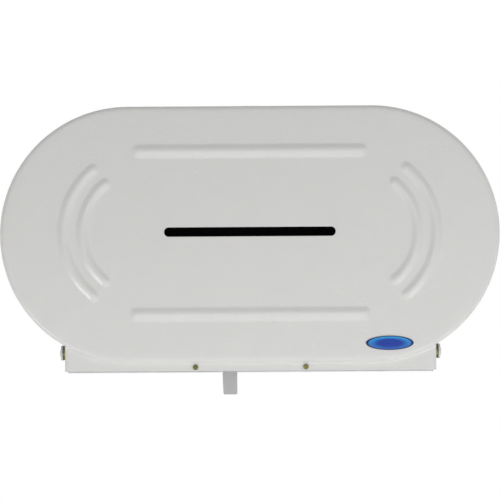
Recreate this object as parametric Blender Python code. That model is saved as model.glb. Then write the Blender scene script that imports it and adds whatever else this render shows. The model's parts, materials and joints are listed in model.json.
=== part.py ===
"""Double roll toilet paper dispenser: a drawn steel cover hinged on a wall plate.

Metres, +Z up. The wall is the plane y = 0 and the cover's face looks along -Y.
The origin lies on the wall face of the back plate, midway between the two spindles.
"""
import math

import bmesh
import bpy
from mathutils import Matrix, Vector

# Clearances and cutting
SEAT_GAP = 0.0003
OVERRUN = 0.004

# Cover pressing
SPINDLE_SPACING = 0.254
COVER_RADIUS = 0.1335
COVER_DEPTH = 0.120
COVER_EDGE_RADIUS = 0.0068
COVER_SHEET = 0.0010
COVER_PLATE_GAP = 0.0005
DRAFT_ANGLE = math.radians(2.4)

# Ribs and sight slot, set about a line a little above the spindles
FACE_CENTRE_RISE = 0.0024
RIB_HEIGHT = 0.0020
RIB_WIDTH = 0.0145
RIB_HALF_LENGTH = 0.124
RIB_OFFSET = 0.085
ARC_RIB_WIDTH = 0.0125
ARC_RIB_CENTRE = 0.1095
ARC_RIB_OUTER_RADIUS = 0.0850
ARC_RIB_INNER_RADIUS = 0.0655
ARC_RIB_HALF_ANGLE = math.radians(48.5)
SLOT_LENGTH = 0.1784
SLOT_HEIGHT = 0.0092
WINDOW_MARGIN = 0.0065
WINDOW_THICKNESS = 0.0020

# Badge plate
BADGE_LENGTH = 0.0496
BADGE_HEIGHT = 0.0148
BADGE_THICKNESS = 0.0008
BADGE_EDGE = 0.0006
BADGE_FROM_SPINDLE = 0.0178
BADGE_DROP_SHARE = 0.8558

# Chin strip below the face, and the cheeks behind it
CHIN_REACH_SHARE = 0.5
CHIN_DROP = 0.0083
CHIN_STEP = 0.0065
CHIN_STEP_FILLET = 0.0070
CHIN_CORNER_RADIUS = 0.0020
CHIN_ROOT_SHARE = 0.6
STEP_ROOT_SHARE = 0.44
STEP_ROOT_DEPTH_SHARE = 0.385
STEP_ANGLE_SHARES = (0.86, 0.62, 0.38, 0.15)
STEP_TAIL = 0.0010
STEP_TAIL_SINK = 0.0003

# Hinge
PLATE_THICKNESS = 0.0020
HINGE_BACK = 0.0210
HEEL_WALL_GAP = 0.0010
EAR_RADIUS = 0.0079
EAR_COVER_GAP = 0.0046
EAR_STANDOFF = 0.0040
BUSH_RADIUS = 0.0075
RIVET_RADIUS = 0.0030
RIVET_HEAD_RADIUS = 0.0050
RIVET_HEAD_THICKNESS = 0.0006

# Back plate
PLATE_EDGE_GAP = 0.0015
PLATE_FLANGE = 0.0100
FLANGE_END_SHARE = 0.30
HOLE_X = 0.0700
HOLE_Z = 0.0850
KEYHOLE_RADIUS = 0.0060
KEYHOLE_SLOT_WIDTH = 0.0055
KEYHOLE_SLOT_LENGTH = 0.0120

# Spindle posts and roll hubs
POST_RADIUS = 0.0095
POST_BASE_RADIUS = 0.0230
POST_BASE_THICKNESS = 0.0030
POST_COLLAR_RADIUS = 0.0140
POST_COLLAR_LENGTH = 0.0070
POST_BORE_DEPTH = 0.0220
HUB_RADIUS = 0.0350
HUB_TAPER = 0.0015
HUB_WALL = 0.0025
HUB_SLEEVE_WALL = 0.0030
HUB_FRONT_WALL = 0.0030
HUB_FLANGE_REACH = 0.0070
HUB_FLANGE_THICKNESS = 0.0030
HUB_WEB_THICKNESS = 0.0022
HUB_WEB_COUNT = 6
HUB_CHAMFER = 0.0015
HUB_FACE_GAP = 0.0160
HUB_END_PLAY = 0.0006
WASHER_RADIUS = 0.0160
WASHER_THICKNESS = 0.0015
END_SCREW_RADIUS = 0.0030
END_SCREW_HEAD_RADIUS = 0.0060
END_SCREW_HEAD_HEIGHT = 0.0036
END_SCREW_LENGTH = 0.0180
HEAD_CURVE_SHARES = (0.0, 0.35, 0.7, 1.0)
HEAD_TOP_SHARE = 0.45
HEAD_RIM_SHARE = 0.3
RECESS_DEPTH = 0.0018
RECESS_WIDTH = 0.0014

# Tear bar and the front screws that hold it with the front guide rail
TEAR_BAR_THICKNESS = 0.0008
TEAR_BAR_HEIGHT = 0.0088
TEAR_BAR_SHOW = 0.0005
TEAR_BAR_END_GAP = 0.0032
TOOTH_PITCH = 0.0026
TOOTH_HEIGHT = 0.0014
GUIDE_SCREW_X = 0.0576
GUIDE_SCREW_RISE = 0.0031
GUIDE_SCREW_RADIUS = 0.0015
GUIDE_SCREW_HEAD_RADIUS = 0.0028
GUIDE_SCREW_HEAD_HEIGHT = 0.0018
GUIDE_SCREW_REACH = 0.0028
GUIDE_RECESS_DEPTH = 0.0011
GUIDE_RECESS_WIDTH = 0.0008
GUIDE_WASHER_THICKNESS = 0.0007
GUIDE_NUT_FLATS = 0.0055
GUIDE_NUT_THICKNESS = 0.0024

# Guide rails and shutter
RAIL_SHEET = 0.0012
RAIL_LIP = 0.0086
REAR_RAIL_LIP = 0.0070
RAIL_END_GAP = 0.0008
RAIL_HEEL_GAP = 0.0004
SHUTTER_SHEET = 0.0012
SHUTTER_LENGTH = 0.254
SHUTTER_REST_X = -0.0219
SHUTTER_CLEARANCE = 0.0003
LEAF_ABOVE_SCREW = 0.0077
TAB_WIDTH = 0.0156
TAB_TAPER = 0.0010
TAB_LENGTH = 0.0368
TAB_BEND_RADIUS = 0.0010
TAB_CORNER_RADIUS = 0.0015
TAB_SLIT = 0.0010

# Lock in the top wall, and the catch that its cam turns behind
LOCK_BACK = 0.0240
LOCK_BARREL_RADIUS = 0.0085
LOCK_LENGTH = 0.0160
LOCK_FLANGE_RADIUS = 0.0100
LOCK_FLANGE_THICKNESS = 0.0006
LOCK_NUT_FLATS = 0.0220
LOCK_NUT_THICKNESS = 0.0030
PLUG_RADIUS = 0.0050
KEY_SLOT_LENGTH = 0.0062
KEY_SLOT_WIDTH = 0.0012
KEY_SLOT_DEPTH = 0.0080
TENON_WIDTH = 0.0050
CAM_LENGTH = 0.0203
CAM_WIDTH = 0.0090
CAM_THICKNESS = 0.0020
CAM_SCREW_RADIUS = 0.0013
CAM_SCREW_HEAD_RADIUS = 0.0032
CAM_SCREW_HEAD_HEIGHT = 0.0016
CAM_SCREW_LENGTH = 0.0080
CATCH_SHEET = 0.0015
CATCH_INSET = 0.0120
CATCH_WIDTH = 0.0160
CATCH_CAM_GAP = 0.0035
CATCH_LEG = 0.0190
CATCH_LIP = 0.0120
CATCH_FRONT_GAP = 0.0020

# Facets
OBROUND_STEPS = 22
EDGE_STEPS = 5
BEAD_STEPS = 4
BEAD_ARC_STEPS = 12
BEAD_END_STEPS = 6
TURN_STEPS = 36
SMALL_TURN_STEPS = 16
SMOOTH_ANGLE = math.radians(32)

# Places worked out from the sizes
SPINDLE_X = SPINDLE_SPACING / 2
FACE_Y = -COVER_DEPTH
WALL_START_Y = FACE_Y + COVER_EDGE_RADIUS
REAR_Y = -(PLATE_THICKNESS + COVER_PLATE_GAP)
STRIP_Y = FACE_Y + CHIN_STEP
STEP_ANGLE = math.acos(1 - CHIN_STEP / (COVER_EDGE_RADIUS + CHIN_STEP_FILLET))
CHIN_HALF_WIDTH = SPINDLE_X + COVER_RADIUS * CHIN_REACH_SHARE
CHIN_BOTTOM = -(COVER_RADIUS + CHIN_DROP)
CHIN_TOP = -COVER_RADIUS * CHIN_ROOT_SHARE
PIVOT_Y = -HINGE_BACK


def draft_at(y):
    """Outward growth of the drafted walls from the face edge to depth y."""
    return (y - WALL_START_Y) * math.tan(DRAFT_ANGLE)


def cheek_x(y):
    """Outer half width of the cheeks at depth y."""
    return CHIN_HALF_WIDTH + (y - STRIP_Y) * math.tan(DRAFT_ANGLE)


EAR_INNER_X = cheek_x(PIVOT_Y) + EAR_STANDOFF
EAR_OUTER_X = EAR_INNER_X + PLATE_THICKNESS
PIVOT_WALL_RADIUS = COVER_RADIUS + draft_at(PIVOT_Y)
PIVOT_Z = -(
    math.sqrt(PIVOT_WALL_RADIUS ** 2 - (EAR_OUTER_X - SPINDLE_X) ** 2) + EAR_COVER_GAP + EAR_RADIUS
)
HEEL_RADIUS = min(PIVOT_Z - CHIN_BOTTOM, HINGE_BACK - PLATE_THICKNESS - HEEL_WALL_GAP)
PLATE_RADIUS = COVER_RADIUS + draft_at(REAR_Y) - COVER_SHEET - PLATE_EDGE_GAP
PLATE_BOTTOM = PIVOT_Z - EAR_RADIUS

SCREW_Z = CHIN_BOTTOM + GUIDE_SCREW_RISE
TEAR_BAR_FRONT = STRIP_Y + COVER_SHEET + SEAT_GAP
RAIL_FRONT = TEAR_BAR_FRONT + TEAR_BAR_THICKNESS + SEAT_GAP
RAIL_BACK = RAIL_FRONT + RAIL_SHEET
RAIL_LIP_END = RAIL_BACK + RAIL_LIP - RAIL_SHEET
LEAF_Z = SCREW_Z + LEAF_ABOVE_SCREW
REAR_RAIL_BACK = PIVOT_Y + math.sqrt(
    (HEEL_RADIUS - RAIL_HEEL_GAP) ** 2
    - (PIVOT_Z - LEAF_Z + SHUTTER_SHEET / 2 + SHUTTER_CLEARANCE + RAIL_SHEET) ** 2
)
REAR_RAIL_FRONT = REAR_RAIL_BACK - REAR_RAIL_LIP
LEAF_FRONT = RAIL_BACK + SHUTTER_CLEARANCE
LEAF_BACK = REAR_RAIL_BACK - RAIL_SHEET - SHUTTER_CLEARANCE
TAB_FRONT = RAIL_LIP_END + SHUTTER_CLEARANCE * 3

HUB_REAR = -(PLATE_THICKNESS + SEAT_GAP + POST_BASE_THICKNESS + POST_COLLAR_LENGTH + SEAT_GAP)
HUB_FRONT = FACE_Y + HUB_FACE_GAP
POST_END = HUB_FRONT - HUB_END_PLAY

LOCK_WALL_Z = COVER_RADIUS + draft_at(-LOCK_BACK)
CAM_TOP = -(LOCK_LENGTH + SEAT_GAP)
CATCH_TOP = LOCK_WALL_Z + CAM_TOP - CAM_THICKNESS - CATCH_CAM_GAP
CATCH_FRONT = -(LOCK_BACK + CAM_WIDTH / 2 + CATCH_FRONT_GAP)


def clear_scene():
    """Remove every object that the file opened with."""
    for thing in list(bpy.data.objects):
        bpy.data.objects.remove(thing, do_unlink=True)


def finish(name, bm):
    """Turn a bmesh into a named object with its faces pointing out."""
    bmesh.ops.recalc_face_normals(bm, faces=bm.faces)
    mesh = bpy.data.meshes.new(name)
    bm.to_mesh(mesh)
    bm.free()
    thing = bpy.data.objects.new(name, mesh)
    bpy.context.scene.collection.objects.link(thing)
    return thing


def loft(name, rings):
    """Closed solid through rings of equal count, capped at both ends."""
    bm = bmesh.new()
    rows = [[bm.verts.new(point) for point in ring] for ring in rings]
    count = len(rows[0])
    for near, far in zip(rows, rows[1:]):
        for i in range(count):
            j = (i + 1) % count
            bm.faces.new((near[i], near[j], far[j], far[i]))
    bm.faces.new(rows[0])
    bm.faces.new(rows[-1])
    return finish(name, bm)


def prism(name, outline, axis, low, high):
    """Outline extruded along an axis: (y, z) for X, (x, z) for Y, (x, y) for Z."""
    place = {
        "X": lambda a, b, h: (h, a, b),
        "Y": lambda a, b, h: (a, h, b),
        "Z": lambda a, b, h: (a, b, h),
    }[axis]
    return loft(name, [[place(a, b, h) for a, b in outline] for h in (low, high)])


def box(name, low, high):
    """Rectangular block between two corners."""
    outline = [(low[0], low[1]), (high[0], low[1]), (high[0], high[1]), (low[0], high[1])]
    return prism(name, outline, "Z", low[2], high[2])


def turned(name, profile, steps, closed=False):
    """Profile of (radius, height) points spun about the local Z axis."""
    bm = bmesh.new()
    rows = []
    for radius, height in profile:
        if radius == 0:
            rows.append([bm.verts.new((0, 0, height))])
            continue
        angles = [2 * math.pi * i / steps for i in range(steps)]
        rows.append([bm.verts.new((radius * math.cos(a), radius * math.sin(a), height)) for a in angles])
    pairs = list(zip(rows, rows[1:]))
    if closed:
        pairs.append((rows[-1], rows[0]))
    for near, far in pairs:
        for i in range(steps):
            j = (i + 1) % steps
            corners = [near[i % len(near)], near[j % len(near)], far[j % len(far)], far[i % len(far)]]
            unique = list(dict.fromkeys(corners))
            if len(unique) > 2:
                bm.faces.new(unique)
    return finish(name, bm)


def cylinder(name, radius, low, high, steps):
    """Plain round bar along the local Z axis."""
    return turned(name, [(0, low), (radius, low), (radius, high), (0, high)], steps)


def transform(thing, matrix):
    """Apply a matrix to a mesh, which leaves the object unturned."""
    thing.data.transform(matrix)
    if matrix.determinant() < 0:
        thing.data.flip_normals()
    thing.data.update()
    return thing


def combine(body, tool, operation):
    """Apply an exact Boolean of a tool to a body, and use the tool up."""
    change = body.modifiers.new(operation.lower(), "BOOLEAN")
    change.operation = operation
    change.object = tool
    change.solver = "EXACT"
    bpy.context.view_layer.update()
    shaped = body.evaluated_get(bpy.context.evaluated_depsgraph_get())
    mesh = bpy.data.meshes.new_from_object(shaped)
    body.modifiers.clear()
    before = body.data
    body.data = mesh
    bpy.data.meshes.remove(before)
    bpy.data.objects.remove(tool, do_unlink=True)
    return body


def cut(body, *tools):
    """Cut tools from a body."""
    for tool in tools:
        combine(body, tool, "DIFFERENCE")
    return body


def join(body, *tools):
    """Join tools to a body."""
    for tool in tools:
        combine(body, tool, "UNION")
    return body


# Local +Z turned to face the front, and to the right
TOWARDS_FRONT = Matrix.Rotation(math.pi / 2, 4, "X")
TOWARDS_RIGHT = Matrix.Rotation(math.pi / 2, 4, "Y")


def along_front(thing, x, y, z):
    """Stand a turned piece at (x, y, z) with its local +Z towards the front."""
    return transform(thing, Matrix.Translation((x, y, z)) @ TOWARDS_FRONT)


def obround(half_span, radius, rise=0.0, steps=OBROUND_STEPS):
    """Outline with two straight sides and half-round ends, as (x, z) points."""
    points = []
    for side in (1, -1):
        for i in range(steps + 1):
            angle = -math.pi / 2 + math.pi * i / steps
            points.append((
                side * (half_span + radius * math.cos(angle)),
                rise + side * radius * math.sin(angle),
            ))
    return points


def arc_band(centre_x, centre_z, radius, half_angle, half_width, side):
    """Outline of a band bent on an arc about a centre, with round ends."""
    points = []
    for i in range(BEAD_ARC_STEPS + 1):
        angle = -half_angle + 2 * half_angle * i / BEAD_ARC_STEPS
        points.append((radius + half_width, angle, 0.0, 0.0))
    for i in range(1, BEAD_END_STEPS):
        turn = math.pi * i / BEAD_END_STEPS
        points.append((radius, half_angle, half_width * math.cos(turn), half_width * math.sin(turn)))
    for i in range(BEAD_ARC_STEPS + 1):
        angle = half_angle - 2 * half_angle * i / BEAD_ARC_STEPS
        points.append((radius - half_width, angle, 0.0, 0.0))
    for i in range(1, BEAD_END_STEPS):
        turn = math.pi * i / BEAD_END_STEPS
        points.append((radius, -half_angle, -half_width * math.cos(turn), -half_width * math.sin(turn)))
    outline = []
    for distance, angle, outward, onward in points:
        x = (distance + outward) * math.cos(angle) - onward * math.sin(angle)
        z = (distance + outward) * math.sin(angle) + onward * math.cos(angle)
        outline.append((centre_x + side * x, centre_z + z))
    return outline


def at_depth(outline, y):
    """An (x, z) outline as a ring at depth y."""
    return [(x, y, z) for x, z in outline]


def pan_form(name, wall):
    """The face and its drafted side walls, shrunk by a wall thickness."""
    rings = []
    radius = COVER_EDGE_RADIUS - wall
    for i in range(EDGE_STEPS + 1):
        angle = (math.pi / 2 - DRAFT_ANGLE) * i / EDGE_STEPS
        offset = radius * math.sin(angle) - COVER_EDGE_RADIUS
        y = WALL_START_Y - radius * math.cos(angle)
        rings.append(at_depth(obround(SPINDLE_X, COVER_RADIUS + offset), y))
    end_y = REAR_Y if wall == 0 else OVERRUN
    rings.append(at_depth(obround(SPINDLE_X, COVER_RADIUS + draft_at(end_y) - wall), end_y))
    return loft(name, rings)


def step_form(name, wall):
    """The hollow fillet between the face edge and the chin strip, clipped to the chin's width."""
    rings = []
    centre_offset = (COVER_EDGE_RADIUS + CHIN_STEP_FILLET) * math.sin(STEP_ANGLE) - COVER_EDGE_RADIUS
    centre_y = STRIP_Y - CHIN_STEP_FILLET
    radius = CHIN_STEP_FILLET + wall
    inside = COVER_RADIUS - COVER_EDGE_RADIUS * STEP_ROOT_SHARE - wall / 2
    inside_y = FACE_Y + CHIN_STEP * STEP_ROOT_DEPTH_SHARE + wall
    rings.append(at_depth(obround(SPINDLE_X, inside), inside_y))
    for share in STEP_ANGLE_SHARES:
        angle = STEP_ANGLE * share
        offset = centre_offset - radius * math.sin(angle)
        outline = obround(SPINDLE_X, COVER_RADIUS + offset)
        rings.append(at_depth(outline, centre_y + radius * math.cos(angle)))
    edge = COVER_RADIUS + centre_offset + STEP_TAIL
    rings.append(at_depth(obround(SPINDLE_X, edge), STRIP_Y + wall + STEP_TAIL_SINK))
    rings.append(at_depth(obround(SPINDLE_X, edge), STRIP_Y + wall + OVERRUN))
    form = loft(name, rings)
    half = CHIN_HALF_WIDTH - CHIN_CORNER_RADIUS / 2 - wall
    low = (-half, FACE_Y - OVERRUN, -COVER_RADIUS * 2)
    high = (half, STRIP_Y + OVERRUN * 2, CHIN_TOP)
    return combine(form, box(name + "_clip", low, high), "INTERSECT")


def chin_form(name, wall):
    """The chin strip and cheeks as one drafted block, shrunk by a wall thickness."""
    front = STRIP_Y + wall
    if wall == 0:
        profile = [(front, CHIN_TOP), (front, CHIN_BOTTOM), (PIVOT_Y, CHIN_BOTTOM)]
        for i in range(1, SMALL_TURN_STEPS // 2 + 1):
            angle = -math.pi / 2 + math.pi / 2 * i / (SMALL_TURN_STEPS // 2)
            y = PIVOT_Y + HEEL_RADIUS * math.cos(angle)
            profile.append((y, PIVOT_Z + (PIVOT_Z - CHIN_BOTTOM) * math.sin(angle)))
        profile.append((PIVOT_Y + HEEL_RADIUS, CHIN_TOP))
    else:
        bottom = CHIN_BOTTOM - OVERRUN
        profile = [(front, CHIN_TOP), (front, bottom), (OVERRUN, bottom), (OVERRUN, CHIN_TOP)]
    rings = [[(side * (cheek_x(y) - wall), y, z) for y, z in profile] for side in (-1, 1)]
    form = loft(name, rings)
    bm = bmesh.new()
    bm.from_mesh(form.data)
    corners = [
        edge for edge in bm.edges
        if all(abs(vert.co.y - front) < SEAT_GAP / 2 for vert in edge.verts)
        and abs(edge.verts[0].co.x - edge.verts[1].co.x) < SEAT_GAP / 2
    ]
    rounding = CHIN_CORNER_RADIUS - wall / 2
    bmesh.ops.bevel(bm, geom=corners, offset=rounding, segments=3, affect="EDGES", profile=0.5)
    bm.to_mesh(form.data)
    bm.free()
    return form


def bead_rings(width, wall, outline):
    """Rings of a bead whose section is a circle's segment, offset inwards by a wall."""
    radius = (width ** 2 / 4 + RIB_HEIGHT ** 2) / (2 * RIB_HEIGHT)
    centre_y = FACE_Y - RIB_HEIGHT + radius
    plane = FACE_Y + wall
    inner = radius - wall
    foot = math.sqrt(inner ** 2 - (centre_y - plane) ** 2)
    start = math.asin(foot / inner)
    rings = [at_depth(outline(foot), plane + OVERRUN / 4)]
    for i in range(BEAD_STEPS):
        angle = start * (1 - i / BEAD_STEPS)
        rings.append(at_depth(outline(inner * math.sin(angle)), centre_y - inner * math.cos(angle)))
    return rings


def bead_forms(wall):
    """The two long ribs and the four arc ribs."""
    forms = []
    for side in (1, -1):
        rise = FACE_CENTRE_RISE + side * RIB_OFFSET

        def straight(half_width, rise=rise):
            half_span = RIB_HALF_LENGTH - RIB_WIDTH / 2
            return obround(half_span, half_width, rise, BEAD_END_STEPS)

        forms.append(loft("long_rib", bead_rings(RIB_WIDTH, wall, straight)))
        for radius in (ARC_RIB_OUTER_RADIUS, ARC_RIB_INNER_RADIUS):

            def bent(half_width, side=side, radius=radius):
                centre_x = side * ARC_RIB_CENTRE
                return arc_band(centre_x, FACE_CENTRE_RISE, radius, ARC_RIB_HALF_ANGLE, half_width, side)

            forms.append(loft("arc_rib", bead_rings(ARC_RIB_WIDTH, wall, bent)))
    return forms


def lock_place(thing):
    """Set a piece made about the lock's axis square to the drafted top wall."""
    matrix = Matrix.Translation((0, -LOCK_BACK, LOCK_WALL_Z)) @ Matrix.Rotation(DRAFT_ANGLE, 4, "X")
    return transform(thing, matrix)


def make_cover():
    """Drawn cover: outer forms less the same forms a sheet thickness inside."""
    cover = pan_form("cover_shell", 0)
    join(cover, chin_form("chin", 0), step_form("step", 0), *bead_forms(0))
    hollow = pan_form("hollow", COVER_SHEET)
    join(hollow, chin_form("chin", COVER_SHEET), step_form("step", COVER_SHEET), *bead_forms(COVER_SHEET))
    cut(cover, hollow)
    slot = obround(SLOT_LENGTH / 2 - SLOT_HEIGHT / 2, SLOT_HEIGHT / 2, FACE_CENTRE_RISE, SMALL_TURN_STEPS)
    cut(cover, prism("slot", slot, "Y", FACE_Y - OVERRUN, FACE_Y + OVERRUN))
    for side in (-1, 1):
        hole = cylinder("hole", GUIDE_SCREW_RADIUS + SEAT_GAP, -OVERRUN, OVERRUN, SMALL_TURN_STEPS)
        cut(cover, along_front(hole, side * GUIDE_SCREW_X, STRIP_Y, SCREW_Z))
        seat = cylinder("seat", GUIDE_SCREW_HEAD_RADIUS + SEAT_GAP, 0, OVERRUN, SMALL_TURN_STEPS)
        cut(cover, along_front(seat, side * GUIDE_SCREW_X, STRIP_Y, SCREW_Z))
        pin_hole = cylinder("pin_hole", RIVET_RADIUS + SEAT_GAP, -OVERRUN, OVERRUN, SMALL_TURN_STEPS)
        place = Matrix.Translation((side * cheek_x(PIVOT_Y), PIVOT_Y, PIVOT_Z))
        cut(cover, transform(pin_hole, place @ TOWARDS_RIGHT))
    lock_hole = cylinder("lock_hole", LOCK_BARREL_RADIUS + SEAT_GAP, -OVERRUN, OVERRUN, TURN_STEPS)
    return cut(cover, lock_place(lock_hole))


def make_window():
    """Smoked strip behind the sight slot."""
    half_span = SLOT_LENGTH / 2 - SLOT_HEIGHT / 2
    radius = SLOT_HEIGHT / 2 + WINDOW_MARGIN
    outline = obround(half_span, radius, FACE_CENTRE_RISE, SMALL_TURN_STEPS // 2)
    front = FACE_Y + COVER_SHEET + SEAT_GAP
    return prism("sight_window", outline, "Y", front, front + WINDOW_THICKNESS)


def make_badge():
    """Plain oval plate with an eased edge."""
    centre_x = SPINDLE_X + BADGE_FROM_SPINDLE
    centre_z = -COVER_RADIUS * BADGE_DROP_SHARE

    def oval(inset):
        points = []
        for i in range(TURN_STEPS):
            angle = 2 * math.pi * i / TURN_STEPS
            x = centre_x + (BADGE_LENGTH / 2 - inset) * math.cos(angle)
            points.append((x, centre_z + (BADGE_HEIGHT / 2 - inset) * math.sin(angle)))
        return points

    back = FACE_Y - SEAT_GAP
    rings = [
        at_depth(oval(0), back),
        at_depth(oval(0), back - BADGE_THICKNESS + BADGE_EDGE),
        at_depth(oval(BADGE_EDGE), back - BADGE_THICKNESS),
    ]
    return loft("badge_plate", rings)


def screw_hole(body, x, y, radius):
    """Cut a front screw's clearance hole through a strip at depth y."""
    hole = cylinder("hole", radius + SEAT_GAP, -OVERRUN, OVERRUN, SMALL_TURN_STEPS)
    return cut(body, along_front(hole, x, y, SCREW_Z))


def make_tear_bar():
    """Thin bar with a row of pointed teeth along its lower edge."""
    half = CHIN_HALF_WIDTH - TEAR_BAR_END_GAP
    count = round(2 * half / TOOTH_PITCH)
    pitch = 2 * half / count
    root = CHIN_BOTTOM - TEAR_BAR_SHOW
    top = CHIN_BOTTOM + TEAR_BAR_HEIGHT
    outline = [(half, root), (half, top), (-half, top), (-half, root)]
    for i in range(count):
        outline.append((-half + (i + 1 / 2) * pitch, root - TOOTH_HEIGHT))
        if i < count - 1:
            outline.append((-half + (i + 1) * pitch, root))
    bar = prism("tear_bar", outline, "Y", TEAR_BAR_FRONT, TEAR_BAR_FRONT + TEAR_BAR_THICKNESS)
    for side in (-1, 1):
        screw_hole(bar, side * GUIDE_SCREW_X, TEAR_BAR_FRONT, GUIDE_SCREW_RADIUS)
    return bar


def make_front_rail():
    """Rail with two lips towards the rear, which guide the shutter's front edge."""
    slot = SHUTTER_SHEET / 2 + SHUTTER_CLEARANCE
    top = LEAF_Z + slot + RAIL_SHEET
    low = LEAF_Z - slot - RAIL_SHEET
    foot = CHIN_BOTTOM + SHUTTER_CLEARANCE
    profile = [
        (RAIL_FRONT, foot), (RAIL_BACK, foot), (RAIL_BACK, low), (RAIL_LIP_END, low),
        (RAIL_LIP_END, LEAF_Z - slot), (RAIL_BACK, LEAF_Z - slot), (RAIL_BACK, LEAF_Z + slot),
        (RAIL_LIP_END, LEAF_Z + slot), (RAIL_LIP_END, top), (RAIL_FRONT, top),
    ]
    half = cheek_x(RAIL_FRONT) - COVER_SHEET - RAIL_END_GAP
    rail = prism("front_guide_rail", profile, "X", -half, half)
    for side in (-1, 1):
        screw_hole(rail, side * GUIDE_SCREW_X, RAIL_FRONT, GUIDE_SCREW_RADIUS)
    return rail


def make_rear_rail():
    """Channel between the cheeks, open to the front, for the shutter's rear edge."""
    slot = SHUTTER_SHEET / 2 + SHUTTER_CLEARANCE
    top = LEAF_Z + slot + RAIL_SHEET
    low = LEAF_Z - slot - RAIL_SHEET
    web = REAR_RAIL_BACK - RAIL_SHEET
    profile = [
        (REAR_RAIL_FRONT, low), (REAR_RAIL_BACK, low), (REAR_RAIL_BACK, top), (REAR_RAIL_FRONT, top),
        (REAR_RAIL_FRONT, LEAF_Z + slot), (web, LEAF_Z + slot), (web, LEAF_Z - slot),
        (REAR_RAIL_FRONT, LEAF_Z - slot),
    ]
    half = cheek_x(REAR_RAIL_FRONT) - COVER_SHEET - SEAT_GAP
    return prism("rear_guide_rail", profile, "X", -half, half)


def cross_recess(depth, width, length, head_top):
    """Cross-shaped cutter for a screw head, about the local Z axis."""
    bars = []
    for long_x, long_y in ((length, width), (width, length)):
        low = (-long_x / 2, -long_y / 2, head_top - depth)
        bars.append(box("recess", low, (long_x / 2, long_y / 2, head_top + OVERRUN)))
    return bars


def pan_screw(name, shank_radius, shank_length, head_radius, head_height, recess_depth, recess_width):
    """Screw with a domed head above z = 0 and its shank below."""
    profile = [(0, -shank_length), (shank_radius, -shank_length), (shank_radius, 0), (head_radius, 0)]
    for share_angle in HEAD_CURVE_SHARES:
        angle = math.pi / 2 * share_angle
        profile.append((
            head_radius * (1 - HEAD_TOP_SHARE) + head_radius * HEAD_TOP_SHARE * math.cos(angle),
            head_height * (HEAD_RIM_SHARE + (1 - HEAD_RIM_SHARE) * math.sin(angle)),
        ))
    profile.append((0, head_height))
    screw = turned(name, profile, SMALL_TURN_STEPS)
    return cut(screw, *cross_recess(recess_depth, recess_width, head_radius, head_height))


def make_guide_fasteners(side, tag):
    """One front screw with its lock washer and nut."""
    x = side * GUIDE_SCREW_X
    head_y = STRIP_Y - SEAT_GAP
    length = TAB_FRONT + SHUTTER_SHEET + GUIDE_SCREW_REACH - head_y
    screw = pan_screw(
        "guide_screw_" + tag, GUIDE_SCREW_RADIUS, length, GUIDE_SCREW_HEAD_RADIUS,
        GUIDE_SCREW_HEAD_HEIGHT, GUIDE_RECESS_DEPTH, GUIDE_RECESS_WIDTH,
    )
    along_front(screw, x, head_y, SCREW_Z)
    bore = GUIDE_SCREW_RADIUS + SEAT_GAP
    outer = GUIDE_NUT_FLATS / 2
    washer_back = RAIL_BACK + SEAT_GAP + GUIDE_WASHER_THICKNESS
    ring = [(bore, 0), (outer, 0), (outer, GUIDE_WASHER_THICKNESS), (bore, GUIDE_WASHER_THICKNESS)]
    washer = turned("guide_washer_" + tag, ring, SMALL_TURN_STEPS, closed=True)
    along_front(washer, x, washer_back, SCREW_Z)
    nut = hex_nut("guide_nut_" + tag, GUIDE_NUT_FLATS, GUIDE_NUT_THICKNESS, bore)
    along_front(nut, x, washer_back + SEAT_GAP + GUIDE_NUT_THICKNESS, SCREW_Z)
    return [screw, washer, nut]


def hex_nut(name, flats, thickness, bore):
    """Six-sided nut about the local Z axis, from z = 0 up."""
    corner = flats / math.sqrt(3)
    outline = [(corner * math.cos(math.pi / 3 * i), corner * math.sin(math.pi / 3 * i)) for i in range(6)]
    nut = prism(name, outline, "Z", 0, thickness)
    return cut(nut, cylinder("bore", bore, -OVERRUN, thickness + OVERRUN, SMALL_TURN_STEPS))


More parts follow.
